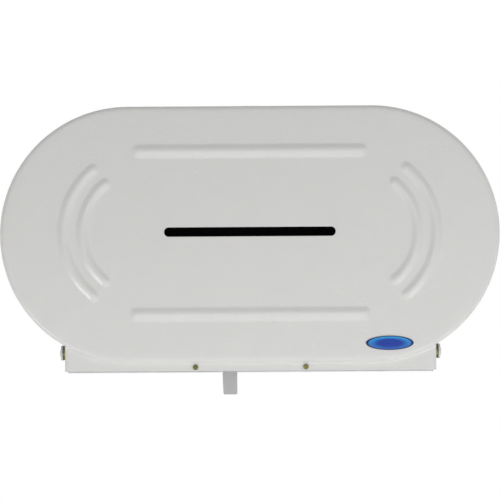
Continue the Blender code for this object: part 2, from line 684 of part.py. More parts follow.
def make_shutter():
    """Flat leaf with a pull tab bent down from its front edge."""
    half = SHUTTER_SHEET / 2
    low = (SHUTTER_REST_X - SHUTTER_LENGTH / 2, LEAF_FRONT, LEAF_Z - half)
    high = (SHUTTER_REST_X + SHUTTER_LENGTH / 2, LEAF_BACK, LEAF_Z + half)
    leaf = box("shutter_plate", low, high)
    tab_low_x = SHUTTER_REST_X - TAB_WIDTH / 2
    tab_high_x = SHUTTER_REST_X + TAB_WIDTH / 2
    notch_low = (tab_low_x - TAB_SLIT, LEAF_FRONT - OVERRUN, LEAF_Z - OVERRUN)
    bend_end = TAB_FRONT + SHUTTER_SHEET + TAB_BEND_RADIUS
    cut(leaf, box("notch", notch_low, (tab_high_x + TAB_SLIT, bend_end, LEAF_Z + OVERRUN)))
    centre = (bend_end, LEAF_Z - half - TAB_BEND_RADIUS)
    foot = LEAF_Z - TAB_LENGTH
    profile = [(bend_end + OVERRUN / 2, LEAF_Z + half)]
    steps = 5
    for i in range(steps + 1):
        angle = math.pi / 2 + math.pi / 2 * i / steps
        reach = TAB_BEND_RADIUS + SHUTTER_SHEET
        profile.append((centre[0] + reach * math.cos(angle), centre[1] + reach * math.sin(angle)))
    profile.append((TAB_FRONT, foot))
    profile.append((TAB_FRONT + SHUTTER_SHEET, foot))
    for i in range(steps + 1):
        angle = math.pi - math.pi / 2 * i / steps
        reach = TAB_BEND_RADIUS
        profile.append((centre[0] + reach * math.cos(angle), centre[1] + reach * math.sin(angle)))
    profile.append((bend_end + OVERRUN / 2, LEAF_Z - half))
    tab = prism("tab", profile, "X", tab_low_x, tab_high_x)
    radius = TAB_CORNER_RADIUS
    foot_low_x = tab_low_x + TAB_TAPER
    outline = [(tab_high_x, LEAF_Z + OVERRUN), (tab_low_x, LEAF_Z + OVERRUN), (tab_low_x, CHIN_BOTTOM)]
    for centre_x, start in ((foot_low_x + radius, math.pi), (tab_high_x - radius, 3 * math.pi / 2)):
        for i in range(steps + 1):
            angle = start + math.pi / 2 * i / steps
            outline.append((centre_x + radius * math.cos(angle), foot + radius + radius * math.sin(angle)))
    stamp = prism("stamp", outline, "Y", TAB_FRONT - OVERRUN, bend_end + OVERRUN)
    combine(tab, stamp, "INTERSECT")
    return join(leaf, tab)


def make_hinge(side, tag):
    """Bush between cheek and ear, and the headed rivet through all three."""
    lean = BUSH_RADIUS * math.tan(DRAFT_ANGLE)
    bush_low = cheek_x(PIVOT_Y) + lean + SEAT_GAP
    bush_high = EAR_INNER_X - SEAT_GAP
    bore = RIVET_RADIUS + SEAT_GAP
    ring = [(bore, bush_low), (BUSH_RADIUS, bush_low), (BUSH_RADIUS, bush_high), (bore, bush_high)]
    bush = turned("hinge_bush_" + tag, ring, SMALL_TURN_STEPS * 2, closed=True)
    inner = cheek_x(PIVOT_Y) - COVER_SHEET - lean - SEAT_GAP
    outer = EAR_OUTER_X + SEAT_GAP
    dome = RIVET_HEAD_RADIUS - RIVET_HEAD_THICKNESS
    profile = [
        (0, inner - RIVET_HEAD_THICKNESS), (dome, inner - RIVET_HEAD_THICKNESS),
        (RIVET_HEAD_RADIUS, inner), (RIVET_RADIUS, inner), (RIVET_RADIUS, outer),
        (RIVET_HEAD_RADIUS, outer), (dome, outer + RIVET_HEAD_THICKNESS),
        (0, outer + RIVET_HEAD_THICKNESS),
    ]
    rivet = turned("hinge_rivet_" + tag, profile, SMALL_TURN_STEPS)
    turn = TOWARDS_RIGHT if side > 0 else Matrix.Rotation(-math.pi / 2, 4, "Y")
    place = Matrix.Translation((0, PIVOT_Y, PIVOT_Z)) @ turn
    return [transform(bush, place), transform(rivet, place)]


def plate_outline():
    """Round-topped outline with a straight foot that reaches out to the ears."""
    foot_top = PIVOT_Z + EAR_RADIUS
    start = math.asin(foot_top / PLATE_RADIUS)
    outline = [(EAR_OUTER_X, PLATE_BOTTOM), (EAR_OUTER_X, foot_top)]
    outline += upper_arcs(PLATE_RADIUS, start)
    outline += [(-EAR_OUTER_X, foot_top), (-EAR_OUTER_X, PLATE_BOTTOM)]
    return outline


def upper_arcs(radius, start):
    """Points over the top, from an angle on the right end to its mirror on the left."""
    right = []
    for i in range(OBROUND_STEPS + 1):
        angle = start + (math.pi / 2 - start) * i / OBROUND_STEPS
        right.append((SPINDLE_X + radius * math.cos(angle), radius * math.sin(angle)))
    return right + [(-x, z) for x, z in reversed(right)]


def make_back_plate():
    """Wall plate with a turned-forward rim, hinge ears and mounting holes."""
    rim_front = -PLATE_THICKNESS - PLATE_FLANGE
    plate = prism("back_plate", plate_outline(), "Y", rim_front, 0)
    reach = SPINDLE_X + PLATE_RADIUS + OVERRUN
    rim_end = -PLATE_RADIUS * FLANGE_END_SHARE
    within = PLATE_RADIUS - PLATE_THICKNESS
    clear = [(reach, rim_end)] + upper_arcs(within, math.asin(rim_end / within)) + [(-reach, rim_end)]
    clear += [(-reach, -PLATE_RADIUS - OVERRUN), (reach, -PLATE_RADIUS - OVERRUN)]
    cut(plate, prism("clear", clear, "Y", rim_front - OVERRUN, -PLATE_THICKNESS))
    for side in (-1, 1):
        outline = [(-PLATE_THICKNESS / 2, PIVOT_Z - EAR_RADIUS)]
        for i in range(SMALL_TURN_STEPS // 2 + 1):
            angle = -math.pi / 2 - math.pi * i / (SMALL_TURN_STEPS // 2)
            outline.append((PIVOT_Y + EAR_RADIUS * math.cos(angle), PIVOT_Z + EAR_RADIUS * math.sin(angle)))
        outline.append((-PLATE_THICKNESS / 2, PIVOT_Z + EAR_RADIUS))
        low, high = sorted((side * EAR_INNER_X, side * EAR_OUTER_X))
        join(plate, prism("ear", outline, "X", low, high))
        pin_hole = cylinder("pin_hole", RIVET_RADIUS + SEAT_GAP, -OVERRUN, OVERRUN, SMALL_TURN_STEPS)
        place = Matrix.Translation((side * EAR_INNER_X, PIVOT_Y, PIVOT_Z))
        cut(plate, transform(pin_hole, place @ TOWARDS_RIGHT))
        for rise in (-HOLE_Z, HOLE_Z):
            head = cylinder("keyhole", KEYHOLE_RADIUS, -OVERRUN, OVERRUN, SMALL_TURN_STEPS)
            cut(plate, along_front(head, side * HOLE_X, 0, rise))
            half = KEYHOLE_SLOT_WIDTH / 2
            low = (side * HOLE_X - half, -OVERRUN, rise)
            high = (side * HOLE_X + half, OVERRUN, rise + KEYHOLE_SLOT_LENGTH)
            cut(plate, box("keyhole_slot", low, high))
    return plate


def make_catch():
    """Folded bracket: leg on the plate, shelf below the cam, lip in front of it."""
    leg_back = -(PLATE_THICKNESS + SEAT_GAP)
    leg_front = leg_back - CATCH_SHEET
    low = CATCH_TOP - CATCH_SHEET
    profile = [
        (leg_back, CATCH_TOP), (leg_back, CATCH_TOP - CATCH_LEG), (leg_front, CATCH_TOP - CATCH_LEG),
        (leg_front, low), (CATCH_FRONT - CATCH_SHEET, low), (CATCH_FRONT - CATCH_SHEET, low + CATCH_LIP),
        (CATCH_FRONT, low + CATCH_LIP), (CATCH_FRONT, CATCH_TOP),
    ]
    return prism("catch_bracket", profile, "X", CATCH_INSET, CATCH_INSET + CATCH_WIDTH)


def make_lock():
    """Barrel, nut, plug, cam and cam screw, made about the lock's own axis."""
    bore = PLUG_RADIUS + SEAT_GAP
    face = SEAT_GAP + LOCK_FLANGE_THICKNESS
    profile = [
        (bore, -LOCK_LENGTH), (LOCK_BARREL_RADIUS, -LOCK_LENGTH), (LOCK_BARREL_RADIUS, SEAT_GAP),
        (LOCK_FLANGE_RADIUS, SEAT_GAP), (LOCK_FLANGE_RADIUS, face), (bore, face),
    ]
    housing = turned("lock_housing", profile, TURN_STEPS, closed=True)
    nut_top = -(COVER_SHEET + SEAT_GAP)
    nut = hex_nut("lock_nut", LOCK_NUT_FLATS, LOCK_NUT_THICKNESS, LOCK_BARREL_RADIUS + SEAT_GAP)
    transform(nut, Matrix.Translation((0, 0, nut_top - LOCK_NUT_THICKNESS)))
    tenon_end = CAM_TOP - CAM_THICKNESS + SEAT_GAP
    plug = cylinder("lock_plug", PLUG_RADIUS, -LOCK_LENGTH, face, TURN_STEPS)
    half = TENON_WIDTH / 2
    join(plug, box("tenon", (-half, -half, tenon_end), (half, half, -LOCK_LENGTH + SEAT_GAP)))
    slot_low = (-KEY_SLOT_LENGTH / 2, -KEY_SLOT_WIDTH / 2, face - KEY_SLOT_DEPTH)
    cut(plug, box("key_slot", slot_low, (KEY_SLOT_LENGTH / 2, KEY_SLOT_WIDTH / 2, face + OVERRUN)))
    head_top = CAM_TOP - CAM_THICKNESS - SEAT_GAP
    shank_top = head_top + CAM_SCREW_LENGTH
    thread_bore = CAM_SCREW_RADIUS + SEAT_GAP
    thread_low = tenon_end - OVERRUN
    thread_high = shank_top + SEAT_GAP
    cut(plug, cylinder("screw_bore", thread_bore, thread_low, thread_high, SMALL_TURN_STEPS))
    reach = CAM_LENGTH - CAM_WIDTH / 2
    outline = []
    for centre_y, start in ((reach, 0), (0, math.pi)):
        for i in range(SMALL_TURN_STEPS // 2 + 1):
            angle = start + math.pi * i / (SMALL_TURN_STEPS // 2)
            outline.append((CAM_WIDTH / 2 * math.cos(angle), centre_y + CAM_WIDTH / 2 * math.sin(angle)))
    cam = prism("lock_cam", outline, "Z", CAM_TOP - CAM_THICKNESS, CAM_TOP)
    half += SEAT_GAP
    square = box("square", (-half, -half, CAM_TOP - OVERRUN), (half, half, CAM_TOP + OVERRUN))
    cut(cam, square)
    screw_profile = [
        (0, head_top - CAM_SCREW_HEAD_HEIGHT), (CAM_SCREW_HEAD_RADIUS, head_top - CAM_SCREW_HEAD_HEIGHT),
        (CAM_SCREW_HEAD_RADIUS, head_top), (CAM_SCREW_RADIUS, head_top), (CAM_SCREW_RADIUS, shank_top),
        (0, shank_top),
    ]
    screw = turned("lock_cam_screw", screw_profile, SMALL_TURN_STEPS)
    return [lock_place(piece) for piece in (housing, nut, plug, cam, screw)]


def make_spindle(side, tag):
    """Turned post, the roll hub that spins on it, its washer and its end screw."""
    x = side * SPINDLE_X
    base = PLATE_THICKNESS + SEAT_GAP
    collar = base + POST_BASE_THICKNESS
    shoulder = collar + POST_COLLAR_LENGTH
    length = -POST_END
    bore = END_SCREW_RADIUS + SEAT_GAP
    post = turned("spindle_post_" + tag, [
        (0, base), (POST_BASE_RADIUS, base), (POST_BASE_RADIUS, collar), (POST_COLLAR_RADIUS, collar),
        (POST_COLLAR_RADIUS, shoulder), (POST_RADIUS, shoulder), (POST_RADIUS, length), (bore, length),
        (bore, length - POST_BORE_DEPTH), (0, length - POST_BORE_DEPTH),
    ], TURN_STEPS)
    hub = make_hub("roll_hub_" + tag)
    washer_back = length + SEAT_GAP
    washer_front = washer_back + WASHER_THICKNESS
    outside = [(WASHER_RADIUS, washer_back), (WASHER_RADIUS, washer_front)]
    ring = [(bore, washer_back), *outside, (bore, washer_front)]
    washer = turned("hub_washer_" + tag, ring, TURN_STEPS, closed=True)
    screw = pan_screw(
        "end_screw_" + tag, END_SCREW_RADIUS, END_SCREW_LENGTH, END_SCREW_HEAD_RADIUS,
        END_SCREW_HEAD_HEIGHT, RECESS_DEPTH, RECESS_WIDTH,
    )
    transform(screw, Matrix.Translation((0, 0, washer_front + SEAT_GAP)))
    for piece in (post, hub, washer, screw):
        along_front(piece, x, 0, 0)
    return post, hub, washer, screw


def make_hub(name):
    """Moulded hub: a sleeve and a tapered drum joined by a front wall and webs."""
    bore = POST_RADIUS + SEAT_GAP
    sleeve = bore + HUB_SLEEVE_WALL
    rear = -HUB_REAR
    front = -HUB_FRONT
    drum = HUB_RADIUS - HUB_WALL
    tip = HUB_RADIUS - HUB_TAPER
    ceiling = front - HUB_FRONT_WALL
    hub = turned(name, [
        (bore, rear), (sleeve, rear), (sleeve, ceiling), (drum - HUB_TAPER, ceiling), (drum, rear),
        (HUB_RADIUS + HUB_FLANGE_REACH, rear), (HUB_RADIUS + HUB_FLANGE_REACH, rear + HUB_FLANGE_THICKNESS),
        (HUB_RADIUS, rear + HUB_FLANGE_THICKNESS), (tip, front - HUB_CHAMFER), (tip - HUB_CHAMFER, front),
        (bore, front),
    ], TURN_STEPS, closed=True)
    for i in range(HUB_WEB_COUNT):
        low = (sleeve - HUB_SLEEVE_WALL / 3, -HUB_WEB_THICKNESS / 2, rear + HUB_FLANGE_THICKNESS)
        high = (drum - HUB_TAPER / 2 + HUB_WALL / 3, HUB_WEB_THICKNESS / 2, ceiling + HUB_FRONT_WALL / 3)
        web = box("web", low, high)
        turn = Matrix.Rotation(2 * math.pi * (i + 1 / 4) / HUB_WEB_COUNT, 4, "Z")
        join(hub, transform(web, turn))
    return hub


def finish_material(name, colour, roughness, metallic):
    """Plain surface finish."""
    material = bpy.data.materials.new(name)
    material.use_nodes = True
    shader = material.node_tree.nodes["Principled BSDF"]
    shader.inputs["Base Color"].default_value = (*colour, 1.0)
    shader.inputs["Roughness"].default_value = roughness
    shader.inputs["Metallic"].default_value = metallic
    material.diffuse_color = (*colour, 1.0)
    return material


FINISHES = {
    "white_powder": ((0.62, 0.62, 0.60), 0.45, 0.0),
    "smoked": ((0.004, 0.004, 0.005), 0.25, 0.0),
    "badge_blue": ((0.03, 0.08, 0.40), 0.30, 0.0),
    "stainless": ((0.45, 0.45, 0.46), 0.35, 1.0),
    "yellow_zinc": ((0.52, 0.42, 0.14), 0.35, 1.0),
    "grey_powder": ((0.43, 0.43, 0.43), 0.50, 0.0),
    "zinc": ((0.55, 0.56, 0.58), 0.38, 1.0),
    "hub_plastic": ((0.09, 0.09, 0.095), 0.50, 0.0),
    "chrome": ((0.70, 0.70, 0.72), 0.12, 1.0),
}

NODE_FINISH = {
    "cover_shell": "white_powder", "back_plate": "white_powder", "sight_window": "smoked",
    "badge_plate": "badge_blue", "tear_bar": "stainless", "shutter_plate": "grey_powder",
    "front_guide_rail": "zinc", "rear_guide_rail": "zinc", "catch_bracket": "zinc",
    "lock_housing": "chrome", "lock_plug": "chrome", "lock_nut": "zinc", "lock_cam": "zinc",
    "lock_cam_screw": "zinc", "guide_screw": "yellow_zinc", "guide_washer": "zinc", "guide_nut": "zinc",
    "hinge_bush": "yellow_zinc", "hinge_rivet": "white_powder", "spindle_post": "zinc",
    "roll_hub": "hub_plastic", "hub_washer": "zinc", "end_screw": "zinc",
}


def dress(things):
    """Give each piece its finish, and shade round faces smooth."""
    materials = {name: finish_material(name, *values) for name, values in FINISHES.items()}
    for thing in things:
        family = thing.name.removesuffix("_left").removesuffix("_right")
        thing.data.materials.clear()
        thing.data.materials.append(materials[NODE_FINISH[family]])
        thing.data.shade_smooth()
        thing.data.set_sharp_from_angle(angle=SMOOTH_ANGLE)


def joint_empty(name, place, children, parent=None):
    """Empty on a joint's axis that carries the pieces turning or sliding with it."""
    empty = bpy.data.objects.new(name, None)
    bpy.context.scene.collection.objects.link(empty)
    empty.location = Vector(place)
    bpy.context.view_layer.update()
    if parent:
        empty.parent = parent
        empty.matrix_parent_inverse = parent.matrix_world.inverted()
        bpy.context.view_layer.update()
    for child in children:
        child.parent = empty
        child.matrix_parent_inverse = empty.matrix_world.inverted()
    return empty


def main():
    """Build every piece, then hang the moving ones on their joints."""
    clear_scene()
    cover_pieces = [make_cover(), make_window(), make_badge(), make_tear_bar()]
    cover_pieces += [make_front_rail(), make_rear_rail()]
    for side, tag in ((-1, "left"), (1, "right")):
        cover_pieces += make_guide_fasteners(side, tag)
    housing, lock_nut, plug, cam, cam_screw = make_lock()
    cover_pieces += [housing, lock_nut]
    shutter = make_shutter()
    pieces = cover_pieces + [plug, cam, cam_screw, shutter, make_back_plate(), make_catch()]
    hinge = joint_empty("cover_hinge_axis", (0, PIVOT_Y, PIVOT_Z), cover_pieces)
    joint_empty("lock_axis", (0, -LOCK_BACK, LOCK_WALL_Z), [plug, cam, cam_screw], hinge)
    joint_empty("shutter_axis", (SHUTTER_REST_X, LEAF_FRONT, LEAF_Z), [shutter], hinge)
    for side, tag in ((-1, "left"), (1, "right")):
        pieces += make_hinge(side, tag)
        post, hub, washer, screw = make_spindle(side, tag)
        pieces += [post, hub, washer, screw]
        joint_empty("spindle_axis_" + tag, (side * SPINDLE_X, 0, 0), [hub])
    dress(pieces)


main()
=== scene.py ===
import json
import math

import bmesh
import bpy
import numpy as np
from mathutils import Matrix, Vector


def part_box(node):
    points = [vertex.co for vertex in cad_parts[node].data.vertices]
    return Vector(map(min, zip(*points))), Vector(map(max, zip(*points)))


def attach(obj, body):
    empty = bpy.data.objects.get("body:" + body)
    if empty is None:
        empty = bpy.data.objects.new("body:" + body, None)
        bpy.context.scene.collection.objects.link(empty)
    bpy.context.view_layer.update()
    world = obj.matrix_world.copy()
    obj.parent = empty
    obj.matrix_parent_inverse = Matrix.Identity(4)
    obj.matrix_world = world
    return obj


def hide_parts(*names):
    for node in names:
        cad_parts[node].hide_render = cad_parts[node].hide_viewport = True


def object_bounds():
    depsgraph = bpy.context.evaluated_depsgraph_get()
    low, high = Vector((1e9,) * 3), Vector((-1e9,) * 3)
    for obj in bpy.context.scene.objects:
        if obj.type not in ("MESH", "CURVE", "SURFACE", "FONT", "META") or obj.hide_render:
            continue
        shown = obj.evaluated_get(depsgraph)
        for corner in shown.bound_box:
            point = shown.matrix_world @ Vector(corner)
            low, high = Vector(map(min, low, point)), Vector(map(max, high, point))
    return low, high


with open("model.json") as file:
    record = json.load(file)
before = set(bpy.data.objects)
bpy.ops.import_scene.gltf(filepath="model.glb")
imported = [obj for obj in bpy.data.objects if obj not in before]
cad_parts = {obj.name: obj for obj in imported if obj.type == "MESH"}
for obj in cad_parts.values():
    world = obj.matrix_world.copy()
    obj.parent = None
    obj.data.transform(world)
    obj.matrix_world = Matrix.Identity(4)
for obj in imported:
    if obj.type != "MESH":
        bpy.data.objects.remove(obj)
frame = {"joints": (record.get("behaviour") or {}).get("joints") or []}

cad_low, cad_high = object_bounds()

# Sizes that the frame's boxes don't give, in metres. First those that many pieces share.
SHEET = 0.0010
SEAT = 0.0003
MERGE_DISTANCE = 1e-6
CREASE_DEGREES = 30
FLAT_DEGREES = 0.5
EASED_DEGREES = 40
EASE_SEGMENTS = 2
TURN_STEPS = 72
SCREW_STEPS = 96

# Edge roll, side walls, step and chin of the pressing
EDGE_RADIUS = 0.0044
DRAFT = math.tan(math.radians(2.4))
STEP = 0.0065
STEP_FILLET = 0.0028
CORNER_RADIUS = 0.0020
CHIN_TAIL = 0.0009
CHIN_REACH_SHARE = 0.5

# Ribs and slot on the pressing's face, with widths measured from a rib's centre line
BEAD_HEIGHT = 0.0020
FEATURE_RISE = 0.0024
LONG_BEAD_OFFSET = 0.0850
LONG_BEAD_REACHES = (0.1160, 0.1190)
LONG_BEAD_SHARES = (0.86, 0.74)
LONG_BEAD_UPPER_WIDTH = 0.0071
LONG_BEAD_LOWER_WIDTH = 0.0092
LONG_BEAD_END_WIDTH = 0.0075
ARC_BEAD_CENTRE = 0.1095
ARC_BEAD_RADII = (0.0850, 0.0655)
ARC_BEAD_HALF_ANGLE = math.radians(50.5)
ARC_BEAD_HALF_WIDTH = 0.0068
ARC_BEAD_SHARE = 0.92
SLOT_HALF_SPAN = 0.0845
SLOT_RADIUS = 0.0049

# Grid of the pressing. The ribs lie in the band of the face that has the closest rows.
CHIN_CORNER_COLUMNS = 26
CHIN_MIDDLE_COLUMNS = 90
END_COLUMNS = 112
TOP_COLUMNS = 104
RIB_BAND_SHARES = (0.42, 0.77)
FACE_ROWS = (9, 50, 8)
ROLL_ROWS = (7, 4)
WALL_ROWS = 7
CHIN_ROWS = 34
CORNER_COLUMNS = 5
CHEEK_COLUMNS = 11

# Badge: shares of its half widths and of its thickness, from the back's middle to the rim
BADGE_RIM_SHARES = (0, 0.99, 1, 1, 0.997)
BADGE_RISE_SHARES = (0, 0, 0.06, 0.30, 0.42)
BADGE_DOME_SHARE = 0.985
BADGE_DOME_ROWS = 14
BADGE_STEPS = 144
BADGE_CREASE_DEGREES = 50

# Shutter leaf and its tab
SHUTTER_SHEET = 0.0012
LEAF_NOTCH = 0.0008
LEAF_EDGE_BAND = 0.0050
SLIT_BAND = 0.0040
LEAF_COLUMNS = 14
TAB_COLUMNS = 12
TAB_LOW_X = -0.0297
TAB_WIDTH = 0.0156
TAB_TAPER = 0.0010
TAB_CORNER = 0.0015
TAB_SLIT = 0.0010
TAB_BEND_RADIUS = 0.0010
TAB_FRONT_Y = -0.1016
TAB_BEND_ROWS = 9
TAB_DROP_ROWS = 8
TAB_FOOT_ROWS = 6
SHUTTER_EASE = 0.00025

# Turned pieces. A ROUNDS value holds one rounding for each corner along the profile.
BUSH_ROUNDS = (0, 0.0004, 0.0004, 0)
RIVET_RADIUS = 0.0030
RIVET_HEAD = 0.0006
RIVET_CROWN_SHARE = 0.62
RIVET_ROUNDS = (0, 0.0006, 0.0002, 0, 0, 0.0002, 0.0006, 0)
RIVET_STEPS = 48
POST_RADIUS = 0.0095
POST_BASE = 0.0030
POST_COLLAR_RADIUS = 0.0140
POST_COLLAR = 0.0070
POST_ROUNDS = (0, 0.0004, 0.0008, 0.0006, 0.0006, 0.0003, 0.0005, 0)
HUB_WALL = 0.0025
HUB_FLANGE_REACH = 0.0070
HUB_FLANGE = 0.0030
HUB_TAPER = 0.0015
HUB_ROUNDS = (
    0.0003, 0.0003, 0.0012, 0.0012, 0.0004, 0.0008, 0.0010, 0.0015, 0.0022, 0.0005,
)
HUB_STEPS = 120
HUB_WEB = 0.0022
HUB_WEBS = 6
HUB_WEB_TURN_SHARE = 0.25
WEB_ROOT = 0.0008
WEB_TOP_ROOT = 0.0004
HUB_WASHER_ROUNDS = (0, 0.0003, 0.0004, 0.0002)
LOCK_WASHER_ROUNDS = (0, 0.0001, 0.0001, 0)
LOCK_WASHER_STEPS = 36

# Screws and nuts. A CROSS value is a recess's depth and the width of its arms.
END_SCREW_SHANK = 0.0030
END_SCREW_HEAD = 0.0036
END_SCREW_CROSS = (0.0016, 0.0019)
GUIDE_SHANK = 0.0015
GUIDE_HEAD = 0.0018
GUIDE_CROSS = (0.0011, 0.0010)
SCREW_RIM_SHARE = 0.35
CROSS_REACH_SHARE = 0.62
CROSS_END_SHARE = 0.22
CROSS_SIDE_SHARE = 0.18
NECK_SHARE = 1.15
NECK_DEPTH_SHARE = 0.2
POINT_DEPTH_SHARE = 0.3
POINT_SHARE = 0.7
HEAD_ROWS = 30
NUT_LEVEL_SHARES = (1, 0.96, 0.9, 0.8, 0.2, 0.1, 0.04, 0)
NUT_CONE_SHARE = 0.97
NUT_CONE_SLOPE = 1.7

# Lock
PLUG_RADIUS = 0.0050
LOCK_BARREL = 0.0085
LOCK_RIM = 0.0100
LOCK_FLANGE = 0.0006
LOCK_LENGTH = 0.0160
LOCK_ROUNDS = (0.0003, 0.0005, 0, 0, 0.0004, 0.0002)
LOCK_STEPS = 96
LOCK_NUT = 0.0030
LOCK_NUT_FLATS = 0.0220

# Finishes: how far a mottle moves powder's tone and gloss, how far grain moves a metal's gloss,
# and how strong their bumps are
MOTTLE_DARKER = 0.993
MOTTLE_LIGHTER = 1.006
MOTTLE_GLOSS = 0.01
GRAIN_SMOOTHER = 0.07
GRAIN_ROUGHER = 0.09
POWDER_BUMP = 0.5
METAL_BUMP = 0.35

# Camera, floor, surroundings and lights. The picture shows FIELD_WIDTH at FIELD_DEPTH behind the
# face. A soft box is (name, place, size, power).
CAMERA_DISTANCE = 3.0
CAMERA_RISE = -0.0167
CAMERA_ROLL = math.radians(0.36)
FIELD_WIDTH = 0.5212
FIELD_DEPTH = 0.005
SENSOR_WIDTH = 36.0
CLIP_START = 0.1
CLIP_END = 50
FLOOR_SIZE = 4.0
FLOOR_DROP = 1.20
FLOOR_GLOW = 0.45
WHITE = (1.0, 1.0, 1.0, 1.0)
FRONT_AMBIENT = 0.22
REAR_AMBIENT = 1.0
SOFT_BOXES = (
    ("low_left_soft_box", (-1.02, -1.24, -0.83), 0.30, 6.6),
    ("low_right_soft_box", (1.1, -1.38, -1.14), 0.6, 7.6),
    ("steep_low_soft_box", (0.4, -1.02, -1.44), 0.6, 4.9),
    ("front_low_soft_box", (0.0, -3.0, -1.0), 1.2, 13.0),
    ("front_soft_box", (0.0, -3.0, 0.0), 1.2, 1.4),
    ("front_right_soft_box", (0.9, -2.6, -0.2), 1.2, 4.0),
    ("right_soft_box", (1.6, -0.8, 0.0), 0.8, 3.6),
    ("top_left_soft_box", (-1.5, -1.2, 1.5), 0.8, 1.4),
    ("top_soft_box", (0.0, -0.9, 2.2), 1.0, 4.9),
)

# Places read from the frame or worked out from it
joints = {joint["name"]: joint for joint in frame["joints"]}
cover_low, cover_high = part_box("cover_shell")
SPINDLE_X = joints["right_hub_spin"]["pos_m"][0]
PIVOT_Y, PIVOT_Z = joints["cover_hinge"]["pos_m"][1:]
FACE_Y = cover_low[1] + BEAD_HEIGHT
REAR_Y = cover_high[1]
WALL_Y = FACE_Y + EDGE_RADIUS
RADIUS = cover_high[2] - (REAR_Y - WALL_Y) * DRAFT
CHIN_BOTTOM = cover_low[2]
STRIP_Y = FACE_Y + STEP
CHIN_HALF = SPINDLE_X + RADIUS * CHIN_REACH_SHARE
HEEL_RADIUS = PIVOT_Z - CHIN_BOTTOM
STEP_ANGLE = math.acos(1 - STEP / (EDGE_RADIUS + STEP_FILLET))
JUNCTION_RADIUS = RADIUS - EDGE_RADIUS + EDGE_RADIUS * math.sin(STEP_ANGLE)
JUNCTION_Y = WALL_Y - EDGE_RADIUS * math.cos(STEP_ANGLE)
FILLET_END = (EDGE_RADIUS + STEP_FILLET) * math.sin(STEP_ANGLE) - EDGE_RADIUS


def finish_mesh(name, mesh, bm, crease_degrees):
    """Put the work back into the mesh, keep its creases sharp and make it an object."""
    bm.to_mesh(mesh)
    bm.free()
    mesh.shade_smooth()
    mesh.set_sharp_from_angle(angle=math.radians(crease_degrees))
    piece = bpy.data.objects.new(name, mesh)
    bpy.context.scene.collection.objects.link(piece)
    return piece


def new_object(name, vertices, faces, crease_degrees=CREASE_DEGREES):
    """Mesh from arrays, with doubles merged, faces pointing out and creases kept sharp."""
    mesh = bpy.data.meshes.new(name)
    mesh.from_pydata(vertices.tolist(), [], faces.tolist())
    bm = bmesh.new()
    bm.from_mesh(mesh)
    bmesh.ops.remove_doubles(bm, verts=bm.verts, dist=MERGE_DISTANCE)
    bmesh.ops.recalc_face_normals(bm, faces=bm.faces)
    return finish_mesh(name, mesh, bm, crease_degrees)


def sheet_arrays(outer, normals, wall, mask, open_edges=(), wrap=False):
    """Two skins and the rims between them.

    outer is a rows by columns grid of points and normals its unit normals. The inner skin is
    outer minus wall times normal. mask says which cells are kept. Every edge between a kept cell
    and a missing one gets a rim, apart from the row edges listed in open_edges as (row, first
    column, last column). With wrap the last column joins the first.
    """
    rows, cols = outer.shape[:2]
    index = np.arange(rows * cols).reshape(rows, cols)
    beside = np.roll(index, -1, axis=1) if wrap else index[:, 1:]
    here = index if wrap else index[:, :-1]
    cells = np.stack([here[:-1], beside[:-1], beside[1:], here[1:]], axis=-1)
    count = rows * cols
    faces = [cells[mask], cells[mask][:, ::-1] + count]
    padded = np.zeros((rows + 1, mask.shape[1]), bool)
    padded[1:-1] = mask
    across = padded[1:] != padded[:-1]
    for row, first, last in open_edges:
        across[row, first:last] = False
    low, high = here[across], beside[across]
    faces.append(np.stack([low, high, high + count, low + count], axis=-1))
    if wrap:
        along = mask != np.roll(mask, 1, axis=1)
    else:
        padded = np.zeros((rows - 1, cols + 1), bool)
        padded[:, 1:-1] = mask
        along = padded[:, 1:] != padded[:, :-1]
    low, high = index[:-1][along], index[1:][along]
    faces.append(np.stack([low, high, high + count, low + count], axis=-1))
    inner = outer - wall * normals
    vertices = np.concatenate([outer.reshape(-1, 3), inner.reshape(-1, 3)])
    return vertices, np.concatenate(faces)


def joined_arrays(sheets):
    """Several (vertices, faces) pairs as one pair, with each one's faces counted on."""
    starts = np.cumsum([0] + [len(vertices) for vertices, _ in sheets[:-1]])
    vertices = np.concatenate([vertices for vertices, _ in sheets])
    faces = np.concatenate([faces + start for (_, faces), start in zip(sheets, starts)])
    return vertices, faces


def swell(distance):
    """Soft bump: (1 - distance squared) squared, from 1 at 0 down to 0 at 1."""
    return np.clip(1 - distance ** 2, 0, None) ** 2


def bead_height(x, z):
    """Height of the ribs over the face at (x, z).

    Each rib is its own share of the full height times the soft bump of the distance to its centre
    line over its half width. A long rib's line is straight and an arc rib's is an arc. Above its
    line, below it and past its ends a long rib has a half width of its own.
    """
    height = np.zeros_like(x)
    rise = z - FEATURE_RISE
    for side, half_length, share in zip((1, -1), LONG_BEAD_REACHES, LONG_BEAD_SHARES):
        past = np.maximum(np.abs(x) - half_length, 0)
        across = rise - side * LONG_BEAD_OFFSET
        width = np.where(across > 0, LONG_BEAD_UPPER_WIDTH, LONG_BEAD_LOWER_WIDTH)
        distance = np.hypot(past / LONG_BEAD_END_WIDTH, across / width)
        height = np.maximum(height, share * swell(distance))
    reach = np.abs(x) - ARC_BEAD_CENTRE
    angle = np.clip(np.arctan2(rise, reach), -ARC_BEAD_HALF_ANGLE, ARC_BEAD_HALF_ANGLE)
    for radius in ARC_BEAD_RADII:
        distance = np.hypot(reach - radius * np.cos(angle), rise - radius * np.sin(angle))
        height = np.maximum(height, ARC_BEAD_SHARE * swell(distance / ARC_BEAD_HALF_WIDTH))
    return BEAD_HEIGHT * height


